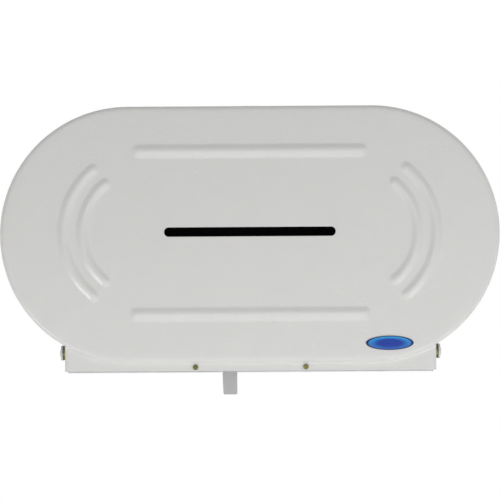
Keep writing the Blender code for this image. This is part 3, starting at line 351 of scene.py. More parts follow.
def cover_columns():
    """Columns round the obround, from the chin's left end along the foot and back over the top.

    Each column is a base from -1 to 1 between the spindles and an angle that mixes two ends, which
    themselves move with the chin corner's angle: (base, low, low share, high, high share, mix).
    """
    quarter = math.pi / 2
    parts = [
        ((-1, -1), (math.pi, -1), (3 * quarter, 0), CHIN_CORNER_COLUMNS),
        ((-1, 1), (3 * quarter, 0), (3 * quarter, 0), CHIN_MIDDLE_COLUMNS),
        ((1, 1), (-quarter, 0), (0, 1), CHIN_CORNER_COLUMNS),
        ((1, 1), (0, 1), (quarter, 0), END_COLUMNS),
        ((1, -1), (quarter, 0), (quarter, 0), TOP_COLUMNS),
        ((-1, -1), (quarter, 0), (math.pi, -1), END_COLUMNS),
    ]
    columns = []
    for base, low, high, count in parts:
        mix = np.arange(count) / count
        ends = [np.full(count, value) for value in (*low, *high)]
        columns.append(np.stack([base[0] + (base[1] - base[0]) * mix, *ends, mix]))
    return np.concatenate(columns, axis=1), 2 * CHIN_CORNER_COLUMNS + CHIN_MIDDLE_COLUMNS


def cover_rows():
    """Rows from the slot over the face, the edge roll and the drafted wall to the rear rim.

    Each row is (slot share, radius, depth, roll angle, corner x), where slot share is 1 at the
    slot and 0 from the edge on. The second value is the number of the junction's row. There the
    roll is as steep as the step, and the chin is sewn on.
    """
    low_share, high_share = RIB_BAND_SHARES
    inner, band, outer = FACE_ROWS
    shares = np.concatenate([
        np.linspace(0, low_share, inner, endpoint=False),
        np.linspace(low_share, high_share, band, endpoint=False),
        np.linspace(high_share, 1, outer),
    ])
    flat = RADIUS - EDGE_RADIUS
    corner = CHIN_HALF - CORNER_RADIUS
    rows = [(1 - s, SLOT_RADIUS + (flat - SLOT_RADIUS) * s, FACE_Y, 0, corner) for s in shares]
    upright = math.pi / 2 - math.atan(DRAFT)
    before, after = ROLL_ROWS
    turns = np.concatenate([
        np.linspace(0, STEP_ANGLE, before + 1)[1:],
        np.linspace(STEP_ANGLE, upright, after + 1)[1:],
    ])
    for turn in turns:
        y = WALL_Y - EDGE_RADIUS * math.cos(turn)
        rows.append((0, flat + EDGE_RADIUS * math.sin(turn), y, turn, seam_x(y)))
    for y in np.linspace(WALL_Y, REAR_Y, WALL_ROWS + 1)[1:]:
        rows.append((0, RADIUS + (y - WALL_Y) * DRAFT, y, upright, seam_x(y)))
    return np.array(rows), len(shares) + before - 1


def seam_x(y):
    """Where the side wall's first column runs at a depth, hidden in the cheek's thickness."""
    start = CHIN_HALF - CORNER_RADIUS + max(y - JUNCTION_Y, 0)
    return min(start, CHIN_HALF + (y - STRIP_Y) * DRAFT - SHEET / 2)


def pan_grid():
    """Points and normals of the face, the edge roll and the side walls as one grid.

    A point is its base on the line between the spindles, drawn in at the slot, plus the row's
    radius along the column's direction. Its depth is the row's, less the height of the ribs.
    """
    columns, chin_columns = cover_columns()
    rows, junction = cover_rows()
    base, low, low_share, high, high_share, mix = columns[:, None, :]
    slot_share, radius, depth, turn, corner = rows.T[:, :, None]
    start = -np.arccos((corner - SPINDLE_X) / np.where(slot_share > 0, JUNCTION_RADIUS, radius))
    angle = (low + low_share * start) * (1 - mix) + (high + high_share * start) * mix
    centre = base * (SPINDLE_X + (SLOT_HALF_SPAN - SPINDLE_X) * slot_share)
    x = centre + radius * np.cos(angle)
    z = radius * np.sin(angle) + FEATURE_RISE * slot_share
    y = np.broadcast_to(depth, x.shape) - bead_height(x, z) * (turn == 0)
    forward = np.broadcast_to(-np.cos(turn), x.shape)
    normals = np.stack([np.cos(angle) * np.sin(turn), forward, np.sin(angle) * np.sin(turn)], -1)
    return np.stack([x, y, z], -1), normals, junction, chin_columns


def strip_grid(edge):
    """Points and normals of the step and the flat strip between the chin's corners.

    The rows run straight down from the pressing's edge to a tail's length below the CAD's tear
    edge, closer together at both ends. Outside the edge the depth follows a hollow fillet to the
    flat strip.
    """
    fall = (1 - np.cos(np.pi * np.arange(CHIN_ROWS + 1) / CHIN_ROWS))[:, None] / 2
    x = np.broadcast_to(edge[:, 0], (len(fall), len(edge)))
    z = edge[:, 2] + (CHIN_BOTTOM - CHIN_TAIL - edge[:, 2]) * fall
    past = np.maximum(np.abs(x) - SPINDLE_X, 0)
    length = np.hypot(past, z)
    lean = np.clip((FILLET_END - (length - RADIUS)) / STEP_FILLET, 0, math.sin(STEP_ANGLE))
    level = np.sqrt(1 - lean ** 2)
    y = STRIP_Y - STEP_FILLET * (1 - level)
    normals = np.stack([np.sign(x) * past / length * lean, -level, z / length * lean], -1)
    return np.stack([x, y, z], -1), normals


def cheek_grid(last, facing, side):
    """Points and normals of a round corner and the cheek behind it, on one side of the chin.

    The corner is a quarter circle that starts at the strip's last column. The cheek runs back
    from it with the walls' draft, and ends on an arc about the hinge.
    """
    bend = np.linspace(0, math.pi / 2, CORNER_COLUMNS + 1)[1:]
    outward = np.array([side, 0, 0])
    back = np.array([side * DRAFT, 1, 0])
    corner = [
        last + CORNER_RADIUS * np.array([side * math.sin(w), 1 - math.cos(w), 0]) for w in bend
    ]
    corner_facing = [facing * math.cos(w) + outward * math.sin(w) for w in bend]
    start = corner[-1]
    drop = np.clip(PIVOT_Z - last[:, 2], 0, HEEL_RADIUS)
    run = PIVOT_Y + np.sqrt(HEEL_RADIUS ** 2 - drop ** 2) - start[:, 1]
    shares = np.linspace(0, 1, CHEEK_COLUMNS + 1)[1:]
    cheek = [start + (run * share)[:, None] * back for share in shares]
    cheek_facing = [np.broadcast_to([side, -DRAFT, 0], start.shape)] * len(cheek)
    return np.stack(corner + cheek, 1), np.stack(corner_facing + cheek_facing, 1)


def chin_grid(edge):
    """Points and normals of the strip with a corner and a cheek at each end.

    edge is the pressing's edge above the chin.
    """
    points, normals = strip_grid(edge)
    left = [part[:, ::-1] for part in cheek_grid(points[:, 0], normals[:, 0], -1)]
    right = cheek_grid(points[:, -1], normals[:, -1], 1)
    points = np.concatenate([left[0], points, right[0]], 1)
    normals = np.concatenate([left[1], normals, right[1]], 1)
    normals = normals / np.linalg.norm(normals, axis=-1, keepdims=True)
    return points, normals, left[0].shape[1]


def make_cover():
    """Drawn cover: the pan, which ends at the chin's step, and the chin sewn on to it."""
    points, normals, junction, chin_columns = pan_grid()
    mask = np.ones((points.shape[0] - 1, points.shape[1]), bool)
    mask[junction:, :chin_columns] = False
    pan = sheet_arrays(points, normals, SHEET, mask, [(junction, 0, chin_columns)], wrap=True)
    points, normals, lead = chin_grid(points[junction, :chin_columns + 1])
    mask = np.ones((points.shape[0] - 1, points.shape[1] - 1), bool)
    chin = sheet_arrays(points, normals, SHEET, mask, [(0, lead, lead + chin_columns)])
    cover = new_object("cover_pressing", *joined_arrays([pan, chin]))
    fit_out(cover, "cover_shell", "cover", white_powder)


def rounded(corners, rounds, closed, arc_steps=5):
    """Profile through (radius, height) corners, each with its rounding.

    Each corner with a rounding becomes an arc that touches both its sides: its centre lies on the
    corner's bisector, rounding over the sine of half the corner's angle away. A profile that isn't
    closed keeps its two end points.
    """
    points = []
    last = len(corners) - 1
    corners = np.array(corners, float)
    for i, (here, rounding) in enumerate(zip(corners, rounds)):
        if rounding == 0 or not (closed or 0 < i < last):
            points.append(here[None])
            continue
        back = corners[i - 1] - here
        ahead = corners[0 if i == last else i + 1] - here
        back = back / np.linalg.norm(back)
        ahead = ahead / np.linalg.norm(ahead)
        half = math.acos(np.clip(back @ ahead, -1, 1)) / 2
        middle = back + ahead
        centre = here + middle / np.linalg.norm(middle) * rounding / math.sin(half)
        start = here + back * rounding / math.tan(half) - centre
        end = here + ahead * rounding / math.tan(half) - centre
        first = math.atan2(start[1], start[0])
        swing = (math.atan2(end[1], end[0]) - first + math.pi) % (2 * math.pi) - math.pi
        angle = first + swing * np.linspace(0, 1, arc_steps + 1)
        points.append(centre + rounding * np.stack([np.cos(angle), np.sin(angle)], -1))
    return np.concatenate(points)


def circle(steps):
    """Angles evenly round a full turn."""
    return 2 * np.pi * np.arange(steps) / steps


def ring_arrays(points, closed):
    """Vertices and quads of a grid whose columns wrap, and whose rows wrap too if it is closed."""
    rows, cols = points.shape[:2]
    index = np.arange(rows * cols).reshape(rows, cols)
    above = np.roll(index, -1, axis=0)
    quads = np.stack([index, np.roll(index, -1, 1), np.roll(above, -1, 1), above], -1)
    stop = rows if closed else rows - 1
    return points.reshape(-1, 3), quads[:stop].reshape(-1, 4)


def to_place(frame_axes, across, up, height):
    """Points of a local frame (centre, across, up, along) in the object's space."""
    centre, first, second, along = frame_axes
    return centre + across[..., None] * first + up[..., None] * second + height[..., None] * along


def front_axes(x, y, z):
    """Local frame of a piece that faces the front."""
    return tuple(np.array(v, float) for v in ((x, y, z), (1, 0, 0), (0, 0, 1), (0, -1, 0)))


def side_axes(side):
    """Local frame on the hinge axis, outwards to the left (-1) or the right (1)."""
    across, up = ((0, 1, 0), (0, 0, 1)) if side > 0 else ((0, 0, 1), (0, 1, 0))
    return tuple(np.array(v, float) for v in ((0, PIVOT_Y, PIVOT_Z), across, up, (side, 0, 0)))


def lock_axes():
    """Local frame on the lock's axis, outwards through the cover's top wall."""
    along = -np.array(joints["lock_turn"]["axis"], float)
    across = np.array([1.0, 0, 0])
    return np.array(joints["lock_turn"]["pos_m"]), across, np.cross(along, across), along


def fit_out(piece, node, body, finish):
    """Put a piece in a node's place, on its body, in its finish."""
    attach(piece, body)
    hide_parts(node)
    piece.data.materials.append(finish)


def about_axis(frame_axes, radius, height, steps):
    """Grid of points at rows of radii and heights, evenly round a local frame's axis."""
    across, up = radius * np.cos(circle(steps)), radius * np.sin(circle(steps))
    return to_place(frame_axes, across, up, np.broadcast_to(height, across.shape))


def turned_arrays(corners, rounds, frame_axes, closed, steps):
    """Surface of revolution: each profile point (radius, height) swept about the local axis."""
    profile = rounded(corners, rounds, closed)
    return ring_arrays(about_axis(frame_axes, profile[:, :1], profile[:, 1:], steps), closed)


def turned(name, corners, rounds, frame_axes, closed, steps=TURN_STEPS):
    """Turned piece; closed where it has a bore."""
    return new_object(name, *turned_arrays(corners, rounds, frame_axes, closed, steps))


def nut(name, flats, bore, low, high, frame_axes):
    """Six-sided nut between two heights.

    Its outside radius at an angle is that of a hexagon, cut off by a cone at both ends. The rows
    run up the bore, out over the top, down the side and back in under the foot.
    """
    sixth = np.pi / 3
    hexagon = flats / 2 / np.cos((circle(SCREW_STEPS) + sixth / 2) % sixth - sixth / 2)
    levels = np.array(NUT_LEVEL_SHARES)
    edge = np.minimum(levels, 1 - levels)[:, None] * (high - low)
    side = np.minimum(hexagon, flats / 2 * NUT_CONE_SHARE + edge * NUT_CONE_SLOPE)
    radius = np.concatenate([np.full((2, SCREW_STEPS), bore), side])
    height = low + (high - low) * np.concatenate([[0, 1], levels])[:, None]
    points = about_axis(frame_axes, radius, height, SCREW_STEPS)
    return new_object(name, *ring_arrays(points, closed=True))


def screw(node, name, thread_radius, rise, cross):
    """Domed screw with a cross recess, as long and as wide as its node. rise is its head's height.

    The head's height over a point is that of a flattened dome, less the recess: two arms at right
    angles, each as deep as its own share along and across it, whichever arm is deeper.
    """
    x, z, radius, back, front = along_y(node)
    seat = front - rise
    length = seat - back
    axes = front_axes(x, -seat, z)
    depth, width = cross
    share = np.linspace(0, 1, HEAD_ROWS)[:, None]
    angle = circle(SCREW_STEPS)
    across, up = radius * share * np.cos(angle), radius * share * np.sin(angle)
    dome = rise * (SCREW_RIM_SHARE + (1 - SCREW_RIM_SHARE) * np.sqrt(1 - share ** 4))
    recess = np.zeros_like(across)
    for along, beside in ((across, up), (up, across)):
        left_over = radius * CROSS_REACH_SHARE - np.abs(along)
        length_share = np.clip(left_over / (radius * CROSS_END_SHARE), 0, 1)
        width_share = np.clip((width / 2 - np.abs(beside)) / (width * CROSS_SIDE_SHARE), 0, 1)
        recess = np.maximum(recess, length_share * width_share)
    top = to_place(axes, across, up, dome - depth * recess)
    below = np.array([
        (radius, 0),
        (thread_radius * NECK_SHARE, 0),
        (thread_radius, -thread_radius * NECK_DEPTH_SHARE),
        (thread_radius, thread_radius * POINT_DEPTH_SHARE - length),
        (thread_radius * POINT_SHARE, -length),
        (0, -length),
    ])
    foot = about_axis(axes, below[:, :1], below[:, 1:], SCREW_STEPS)
    return new_object(name, *ring_arrays(np.concatenate([top, foot]), closed=False))


def along_y(node):
    """A node's centre in x and z, its radius, and its heights towards the front from y = 0."""
    low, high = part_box(node)
    return (low[0] + high[0]) / 2, (low[2] + high[2]) / 2, (high[0] - low[0]) / 2, -high[1], -low[1]


def along_hinge(node):
    """A hinge node's radius, and its two distances from the middle of the object."""
    low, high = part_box(node)
    return (high[2] - low[2]) / 2, *sorted((abs(low[0]), abs(high[0])))


def make_badge():
    """Plain domed oval plate.

    Rows run from the back's middle out to the rim and over the dome to its top. The dome's height
    is its full height times 1 minus half the fourth power of the share of the way out.
    """
    low, high = (np.array(corner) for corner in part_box("badge_plate"))
    middle, half = (low + high) / 2, (high - low) / 2
    inward = np.linspace(BADGE_DOME_SHARE, 0, BADGE_DOME_ROWS)
    out = np.concatenate([BADGE_RIM_SHARES, inward])[:, None]
    rise = np.concatenate([BADGE_RISE_SHARES, 1 - inward ** 4 / 2])[:, None] * (high[1] - low[1])
    angle = circle(BADGE_STEPS)
    x = middle[0] + half[0] * out * np.cos(angle)
    z = middle[2] + half[2] * out * np.sin(angle)
    points = np.stack([x, np.broadcast_to(high[1] - rise, x.shape), z], -1)
    badge = new_object("badge", *ring_arrays(points, closed=False), BADGE_CREASE_DEGREES)
    fit_out(badge, "badge_plate", "cover", badge_enamel)


def leaf_arrays(low, high, bend_y):
    """Flat leaf as a grid of cells, with notched corners and a slit on each side of the tab.

    Between the slits the leaf starts at the bend, where the tab is sewn on.
    """
    tab_high = TAB_LOW_X + TAB_WIDTH
    left_slit, right_slit = TAB_LOW_X - TAB_SLIT, tab_high + TAB_SLIT
    columns = np.concatenate([
        [low[0], low[0] + LEAF_NOTCH],
        np.linspace(low[0] + LEAF_EDGE_BAND, left_slit - SLIT_BAND, LEAF_COLUMNS),
        [left_slit],
        np.linspace(TAB_LOW_X, tab_high, TAB_COLUMNS + 1),
        [right_slit],
        np.linspace(right_slit + SLIT_BAND, high[0] - LEAF_EDGE_BAND, LEAF_COLUMNS),
        [high[0] - LEAF_NOTCH, high[0]],
    ])
    rows = np.array([
        low[1], low[1] + LEAF_NOTCH, bend_y, (bend_y + high[1]) / 2, high[1] - LEAF_NOTCH, high[1],
    ])
    x, y = np.meshgrid(columns, rows)
    leaf = np.stack([x, y, np.full_like(x, high[2])], -1)
    normals = np.broadcast_to([0.0, 0.0, 1.0], leaf.shape)
    mask = np.ones((len(rows) - 1, len(columns) - 1), bool)
    first = int(np.argmin(np.abs(columns - TAB_LOW_X)))
    bend_row = 2
    mask[:bend_row, first - 1:first + TAB_COLUMNS + 1] = False
    mask[0, 0] = mask[0, -1] = mask[-1, 0] = mask[-1, -1] = False
    sewn = [(bend_row, first, first + TAB_COLUMNS)]
    return sheet_arrays(leaf, normals, SHUTTER_SHEET, mask, sewn)


def tab_arrays(top, foot, bend_y):
    """Tab: a strip carried along a path, with its width drawn in at the foot.

    The path runs forward, turns down through a quarter circle and ends at the foot. There each
    side draws in by a quarter circle, and the left side by an even taper below the chin too.
    """
    reach = TAB_BEND_RADIUS + SHUTTER_SHEET
    turn = np.linspace(0, np.pi / 2, TAB_BEND_ROWS)
    corner_turn = np.linspace(0, np.pi / 2, TAB_FOOT_ROWS + 1)[1:]
    upright_rows = TAB_DROP_ROWS + TAB_FOOT_ROWS
    y = np.concatenate([bend_y - reach * np.sin(turn), np.full(upright_rows, TAB_FRONT_Y)])
    z = np.concatenate([
        top - reach + reach * np.cos(turn),
        np.linspace(top - reach, foot + TAB_CORNER, TAB_DROP_ROWS + 1)[1:],
        foot + TAB_CORNER - TAB_CORNER * np.sin(corner_turn),
    ])
    lean = np.concatenate([turn, np.full(upright_rows, np.pi / 2)])
    drop = np.clip(z - foot, 0, TAB_CORNER)
    inset = TAB_CORNER - np.sqrt(np.maximum(TAB_CORNER ** 2 - (TAB_CORNER - drop) ** 2, 0))
    taper = np.clip((CHIN_BOTTOM - z) / (CHIN_BOTTOM - foot), 0, 1) * TAB_TAPER
    left, right = TAB_LOW_X + inset + taper, TAB_LOW_X + TAB_WIDTH - inset
    x = left[:, None] + (right - left)[:, None] * np.linspace(0, 1, TAB_COLUMNS + 1)
    columns = np.ones(TAB_COLUMNS + 1)
    points = np.stack([x, np.outer(y, columns), np.outer(z, columns)], -1)
    facing = [0 * x, np.outer(-np.sin(lean), columns), np.outer(np.cos(lean), columns)]
    mask = np.ones((len(y) - 1, TAB_COLUMNS), bool)
    sewn = [(0, 0, TAB_COLUMNS)]
    return sheet_arrays(points, np.stack(facing, -1), SHUTTER_SHEET, mask, sewn)


def make_shutter():
    """Sliding leaf with its pull tab bent down."""
    low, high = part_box("shutter_plate")
    bend_y = TAB_FRONT_Y + SHUTTER_SHEET + TAB_BEND_RADIUS
    sheets = [leaf_arrays(low, high, bend_y), tab_arrays(high[2], low[2], bend_y)]
    shutter = new_object("shutter_leaf", *joined_arrays(sheets))
    ease(shutter, SHUTTER_EASE)
    fit_out(shutter, "shutter_plate", "shutter", grey_powder)


def ease(piece, width):
    """Round a piece's sharp edges by a small width."""
    edges = piece.modifiers.new("eased_edges", "BEVEL")
    edges.width = width
    edges.segments = EASE_SEGMENTS
    edges.limit_method = "ANGLE"
    edges.angle_limit = math.radians(EASED_DEGREES)
    edges.harden_normals = False


def eased_copy(node, name, width, body, slot, finish):
    """A flat-sided node's own shape with its faces merged and its edges eased."""
    mesh = bpy.data.objects[node].data.copy()
    mesh.materials.clear()
    bm = bmesh.new()
    bm.from_mesh(mesh)
    bmesh.ops.remove_doubles(bm, verts=bm.verts, dist=MERGE_DISTANCE)
    flat = math.radians(FLAT_DEGREES)
    bmesh.ops.dissolve_limit(bm, angle_limit=flat, verts=bm.verts, edges=bm.edges)
    piece = finish_mesh(name, mesh, bm, CREASE_DEGREES)
    ease(piece, width)
    fit_out(piece, node, body, finish)
    return mesh


def lower_teeth(mesh):
    """Set the tear edge's teeth down by as much as the chin strip, below its row of holes."""
    points = np.empty(len(mesh.vertices) * 3)
    mesh.vertices.foreach_get("co", points)
    heights = points[2::3]
    heights[heights < CHIN_BOTTOM + SEAT] -= CHIN_TAIL
    mesh.vertices.foreach_set("co", points)
    mesh.update()


def make_hinges():
    """Yellow bushes between the cheeks and the ears, and the rivets through them."""
    for side, tag in ((-1, "left"), (1, "right")):
        axes = side_axes(side)
        node = "hinge_bush_" + tag
        radius, inner, outer = along_hinge(node)
        bore = RIVET_RADIUS + SEAT
        corners = [(bore, inner), (radius, inner), (radius, outer), (bore, outer)]
        bush = turned(tag + "_bush", corners, BUSH_ROUNDS, axes, closed=True)
        fit_out(bush, node, "wall_unit", yellow_zinc)
        node = "hinge_rivet_" + tag
        radius, inner, outer = along_hinge(node)
        crown = radius * RIVET_CROWN_SHARE
        corners = [
            (0, inner), (crown, inner), (radius, inner + RIVET_HEAD),
            (RIVET_RADIUS, inner + RIVET_HEAD), (RIVET_RADIUS, outer - RIVET_HEAD),
            (radius, outer - RIVET_HEAD), (crown, outer), (0, outer),
        ]
        name = tag + "_rivet"
        rivet = turned(name, corners, RIVET_ROUNDS, axes, closed=False, steps=RIVET_STEPS)
        fit_out(rivet, node, "wall_unit", white_powder)


def make_spindles():
    """Posts, hubs, washers and end screws of the two spindles."""
    for tag in ("left", "right"):
        node = "spindle_post_" + tag
        x, z, radius, base, end = along_y(node)
        collar = base + POST_BASE
        neck = collar + POST_COLLAR
        corners = [
            (0, base), (radius, base), (radius, collar), (POST_COLLAR_RADIUS, collar),
            (POST_COLLAR_RADIUS, neck), (POST_RADIUS, neck), (POST_RADIUS, end), (0, end),
        ]
        post = turned(tag + "_post", corners, POST_ROUNDS, front_axes(x, 0, z), closed=False)
        fit_out(post, node, "wall_unit", bright_zinc)
        make_hub(tag)
        node = "hub_washer_" + tag
        x, z, radius, back, front = along_y(node)
        bore = END_SCREW_SHANK + SEAT
        corners = [(bore, back), (radius, back), (radius, front), (bore, front)]
        axes = front_axes(x, 0, z)
        washer = turned(tag + "_washer", corners, HUB_WASHER_ROUNDS, axes, closed=True)
        fit_out(washer, node, "wall_unit", bright_zinc)
        node = "end_screw_" + tag
        end_screw = screw(
            node, tag + "_end_screw", END_SCREW_SHANK, END_SCREW_HEAD, END_SCREW_CROSS
        )
        fit_out(end_screw, node, "wall_unit", bright_zinc)


def make_hub(tag):
    """Moulded hub: tapered drum, rear flange and front wall about an open sleeve, with webs."""
    node = "roll_hub_" + tag
    x, z, flange, rear, front = along_y(node)
    axes = front_axes(x, 0, z)
    bore = POST_RADIUS + SEAT
    sleeve = bore + HUB_WALL
    drum = flange - HUB_FLANGE_REACH
    tip = drum - HUB_TAPER
    ceiling = front - HUB_WALL
    step = rear + HUB_FLANGE
    corners = [
        (bore, rear), (sleeve, rear), (sleeve, ceiling), (tip - HUB_WALL, ceiling),
        (drum - HUB_WALL, rear), (flange, rear), (flange, step), (drum, step), (tip, front),
        (bore, front),
    ]
    sheets = [turned_arrays(corners, HUB_ROUNDS, axes, closed=True, steps=HUB_STEPS)]
    radii = sleeve - WEB_ROOT, drum - HUB_WALL / 2
    heights = step, ceiling + WEB_TOP_ROOT
    for i in range(HUB_WEBS):
        angle = 2 * math.pi * (i + HUB_WEB_TURN_SHARE) / HUB_WEBS
        sheets.append(web_arrays(axes, angle, radii, heights))
    hub = new_object(tag + "_hub", *joined_arrays(sheets))
    fit_out(hub, node, tag + "_hub", moulded_black)


def web_arrays(axes, angle, radii, heights):
    """Flat upright web of a hub at an angle, between two radii and two heights."""
    across, up = math.cos(angle), math.sin(angle)
    radius, height = np.meshgrid(radii, heights)
    facing = np.broadcast_to([-up, across, 0.0], (*radius.shape, 3))
    outer = np.stack([across * radius, up * radius, height], -1) + facing * HUB_WEB / 2
    vertices, faces = sheet_arrays(outer, facing, HUB_WEB, np.ones((1, 1), bool))
    return to_place(axes, *vertices.T), faces


def make_front_fasteners():
    """Cross-recess screws through the chin, with their washers and nuts behind."""
    for tag in ("left", "right"):
        node = "guide_screw_" + tag
        chin_screw = screw(node, tag + "_chin_screw", GUIDE_SHANK, GUIDE_HEAD, GUIDE_CROSS)
        fit_out(chin_screw, node, "cover", yellow_zinc)
        node = "guide_washer_" + tag
        x, z, radius, back, front = along_y(node)
        axes = front_axes(x, 0, z)
        bore = GUIDE_SHANK + SEAT
        corners = [(bore, back), (radius, back), (radius, front), (bore, front)]
        washer = turned(
            tag + "_lock_washer", corners, LOCK_WASHER_ROUNDS, axes,
            closed=True, steps=LOCK_WASHER_STEPS,
        )
        fit_out(washer, node, "cover", bright_zinc)
        node = "guide_nut_" + tag
        low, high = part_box(node)
        chin_nut = nut(tag + "_chin_nut", high[2] - low[2], bore, -high[1], -low[1], axes)
        fit_out(chin_nut, node, "cover", bright_zinc)


def make_lock():
    """Lock barrel and its nut in the cover's top wall."""
    axes = lock_axes()
    face = SEAT + LOCK_FLANGE
    bore = PLUG_RADIUS + SEAT
    corners = [
        (bore, -LOCK_LENGTH), (LOCK_BARREL, -LOCK_LENGTH), (LOCK_BARREL, SEAT),
        (LOCK_RIM, SEAT), (LOCK_RIM, face), (bore, face),
    ]
    barrel = turned("lock_barrel", corners, LOCK_ROUNDS, axes, closed=True, steps=LOCK_STEPS)
    fit_out(barrel, "lock_housing", "cover", chrome)
    top = -(SHEET + SEAT)
    bore = LOCK_BARREL + SEAT
    ring_nut = nut("lock_ring_nut", LOCK_NUT_FLATS, bore, top - LOCK_NUT, top, axes)
    fit_out(ring_nut, "lock_nut", "cover", bright_zinc)


def group(name, inputs, outputs):
    """Empty shader node group with its sockets and its input and output nodes."""
    tree = bpy.data.node_groups.new(name, "ShaderNodeTree")
    for socket, kind, value in inputs:
        made = tree.interface.new_socket(socket, in_out="INPUT", socket_type=kind)
        if value is not None:
            made.default_value = value
    for socket in outputs:
        tree.interface.new_socket(socket, in_out="OUTPUT", socket_type="NodeSocketFloat")
    return tree, tree.nodes.new("NodeGroupInput"), tree.nodes.new("NodeGroupOutput")


def add(tree, kind, settings=(), values=(), links=()):
    """Node with its settings, input values and incoming links."""
    node = tree.nodes.new(kind)
    for name, value in dict(settings).items():
        setattr(node, name, value)
    for name, value in dict(values).items():
        node.inputs[name].default_value = value
    for name, source in dict(links).items():
        tree.links.new(source, node.inputs[name])
    return node


def noise(tree, vector, scale, detail, roughness=0.5):
    """Noise texture's value."""
    values = {"Scale": scale, "Detail": detail, "Roughness": roughness}
    return add(tree, "ShaderNodeTexNoise", values=values, links={"Vector": vector}).outputs["Fac"]


def vector_math(tree, operation, vector, other=(0.0, 0.0, 0.0)):
    """Vector worked out from a vector and three constants."""
    settings = {"operation": operation}
    return add(tree, "ShaderNodeVectorMath", settings, {1: other}, {0: vector}).outputs


def spread(tree, source, span, to=(0.0, 1.0)):
    """A value moved from one range to another."""
    values = {1: span[0], 2: span[1], 3: to[0], 4: to[1]}
    return add(tree, "ShaderNodeMapRange", values=values, links={0: source}).outputs[0]


def blend(tree, share, first, second):
    """Mix of two colours; each is a socket or a colour."""
    node = add(tree, "ShaderNodeMix", {"data_type": "RGBA"}, links={0: share})
    for socket, colour in ((6, first), (7, second)):
        if isinstance(colour, tuple):
            node.inputs[socket].default_value = (*colour, 1.0)
        else:
            tree.links.new(colour, node.inputs[socket])
    return node.outputs[2]


def orange_peel_group():
    """Sprayed powder: fine rounded bumps, and a mottle over a wider scale."""
    sockets = [("Vector", "NodeSocketVector", None), ("Grain", "NodeSocketFloat", 700.0)]
    tree, come, go = group("orange_peel", sockets, ["Height", "Mottle"])
    vector, grain = come.outputs["Vector"], come.outputs["Grain"]
    links = {"Vector": vector, "Scale": grain}
    fine = add(tree, "ShaderNodeTexNoise", values={"Detail": 2.0}, links=links).outputs["Fac"]
    wide = noise(tree, vector, scale=160.0, detail=3.0)
    wide_share = 0.35
    settings = {"operation": "MULTIPLY_ADD"}
    height = add(tree, "ShaderNodeMath", settings, {1: wide_share}, {0: wide, 2: fine})
    tree.links.new(height.outputs[0], go.inputs["Height"])
    tree.links.new(noise(tree, vector, scale=45.0, detail=4.0), go.inputs["Mottle"])
    return tree


def grain_group():
    """Drawn or brushed metal: noise stretched along one direction, and a slow stain."""
    sockets = [("Vector", "NodeSocketVector", None), ("Stretch", "NodeSocketVector", (1, 1, 1))]
    tree, come, go = group("metal_grain", sockets, ["Lines", "Stain"])
    links = {0: come.outputs["Vector"], 1: come.outputs["Stretch"]}
    scaled = add(tree, "ShaderNodeVectorMath", {"operation": "MULTIPLY"}, links=links).outputs[0]
    lines = noise(tree, scaled, scale=900.0, detail=4.0, roughness=0.7)
    stain = noise(tree, come.outputs["Vector"], scale=70.0, detail=3.0)
    tree.links.new(lines, go.inputs["Lines"])
    tree.links.new(stain, go.inputs["Stain"])
    return tree


def new_material(name, roughness, metallic=0.0):
    """Material whose Principled shader has its constant values, and its object coordinates."""
    material = bpy.data.materials.new(name)
    material.use_nodes = True
    tree = material.node_tree
    shader = tree.nodes["Principled BSDF"]
    shader.inputs["Roughness"].default_value = roughness
    shader.inputs["Metallic"].default_value = metallic
    place = add(tree, "ShaderNodeTexCoord").outputs["Object"]
    return material, tree, shader.inputs, place


def use_group(tree, effect, place, **values):
    """A shared effect placed in a material, on the object's coordinates."""
    node = tree.nodes.new("ShaderNodeGroup")
    node.node_tree = effect
    tree.links.new(place, node.inputs["Vector"])
    for name, value in values.items():
        node.inputs[name].default_value = value
    return node.outputs


def bump(tree, inputs, height, strength, distance):
    """Bump of a height on a shader's normal."""
    values = {"Strength": strength, "Distance": distance}
    node = add(tree, "ShaderNodeBump", values=values, links={"Height": height})
    tree.links.new(node.outputs["Normal"], inputs["Normal"])


def powder_coat(name, colour, roughness, grain, depth):
    """Baked powder coat: orange peel, a slight mottle of tone and gloss."""
    material, tree, inputs, place = new_material(name, roughness)
    height, mottle = use_group(tree, orange_peel, place, Grain=grain)
    dark = tuple(c * MOTTLE_DARKER for c in colour)
    light = tuple(min(c * MOTTLE_LIGHTER, 1) for c in colour)
    tone = blend(tree, spread(tree, mottle, (0.35, 0.65)), dark, light)
    gloss = spread(tree, mottle, (0.2, 0.8), (roughness + MOTTLE_GLOSS, roughness - MOTTLE_GLOSS))
    tree.links.new(tone, inputs["Base Color"])
    tree.links.new(gloss, inputs["Roughness"])
    bump(tree, inputs, height, POWDER_BUMP, depth)
    return material


def metal(name, light, dark, roughness, stretch, depth):
    """Plated or brushed metal: grain lines and a stain between two tones."""
    material, tree, inputs, place = new_material(name, roughness, metallic=1.0)
    lines, stain = use_group(tree, metal_grain, place, Stretch=stretch)
    tone = blend(tree, spread(tree, stain, (0.35, 0.65)), dark, light)
    gloss = spread(tree, lines, (0.3, 0.7), (roughness - GRAIN_SMOOTHER, roughness + GRAIN_ROUGHER))
    tree.links.new(tone, inputs["Base Color"])
    tree.links.new(gloss, inputs["Roughness"])
    bump(tree, inputs, lines, METAL_BUMP, depth)
    return material


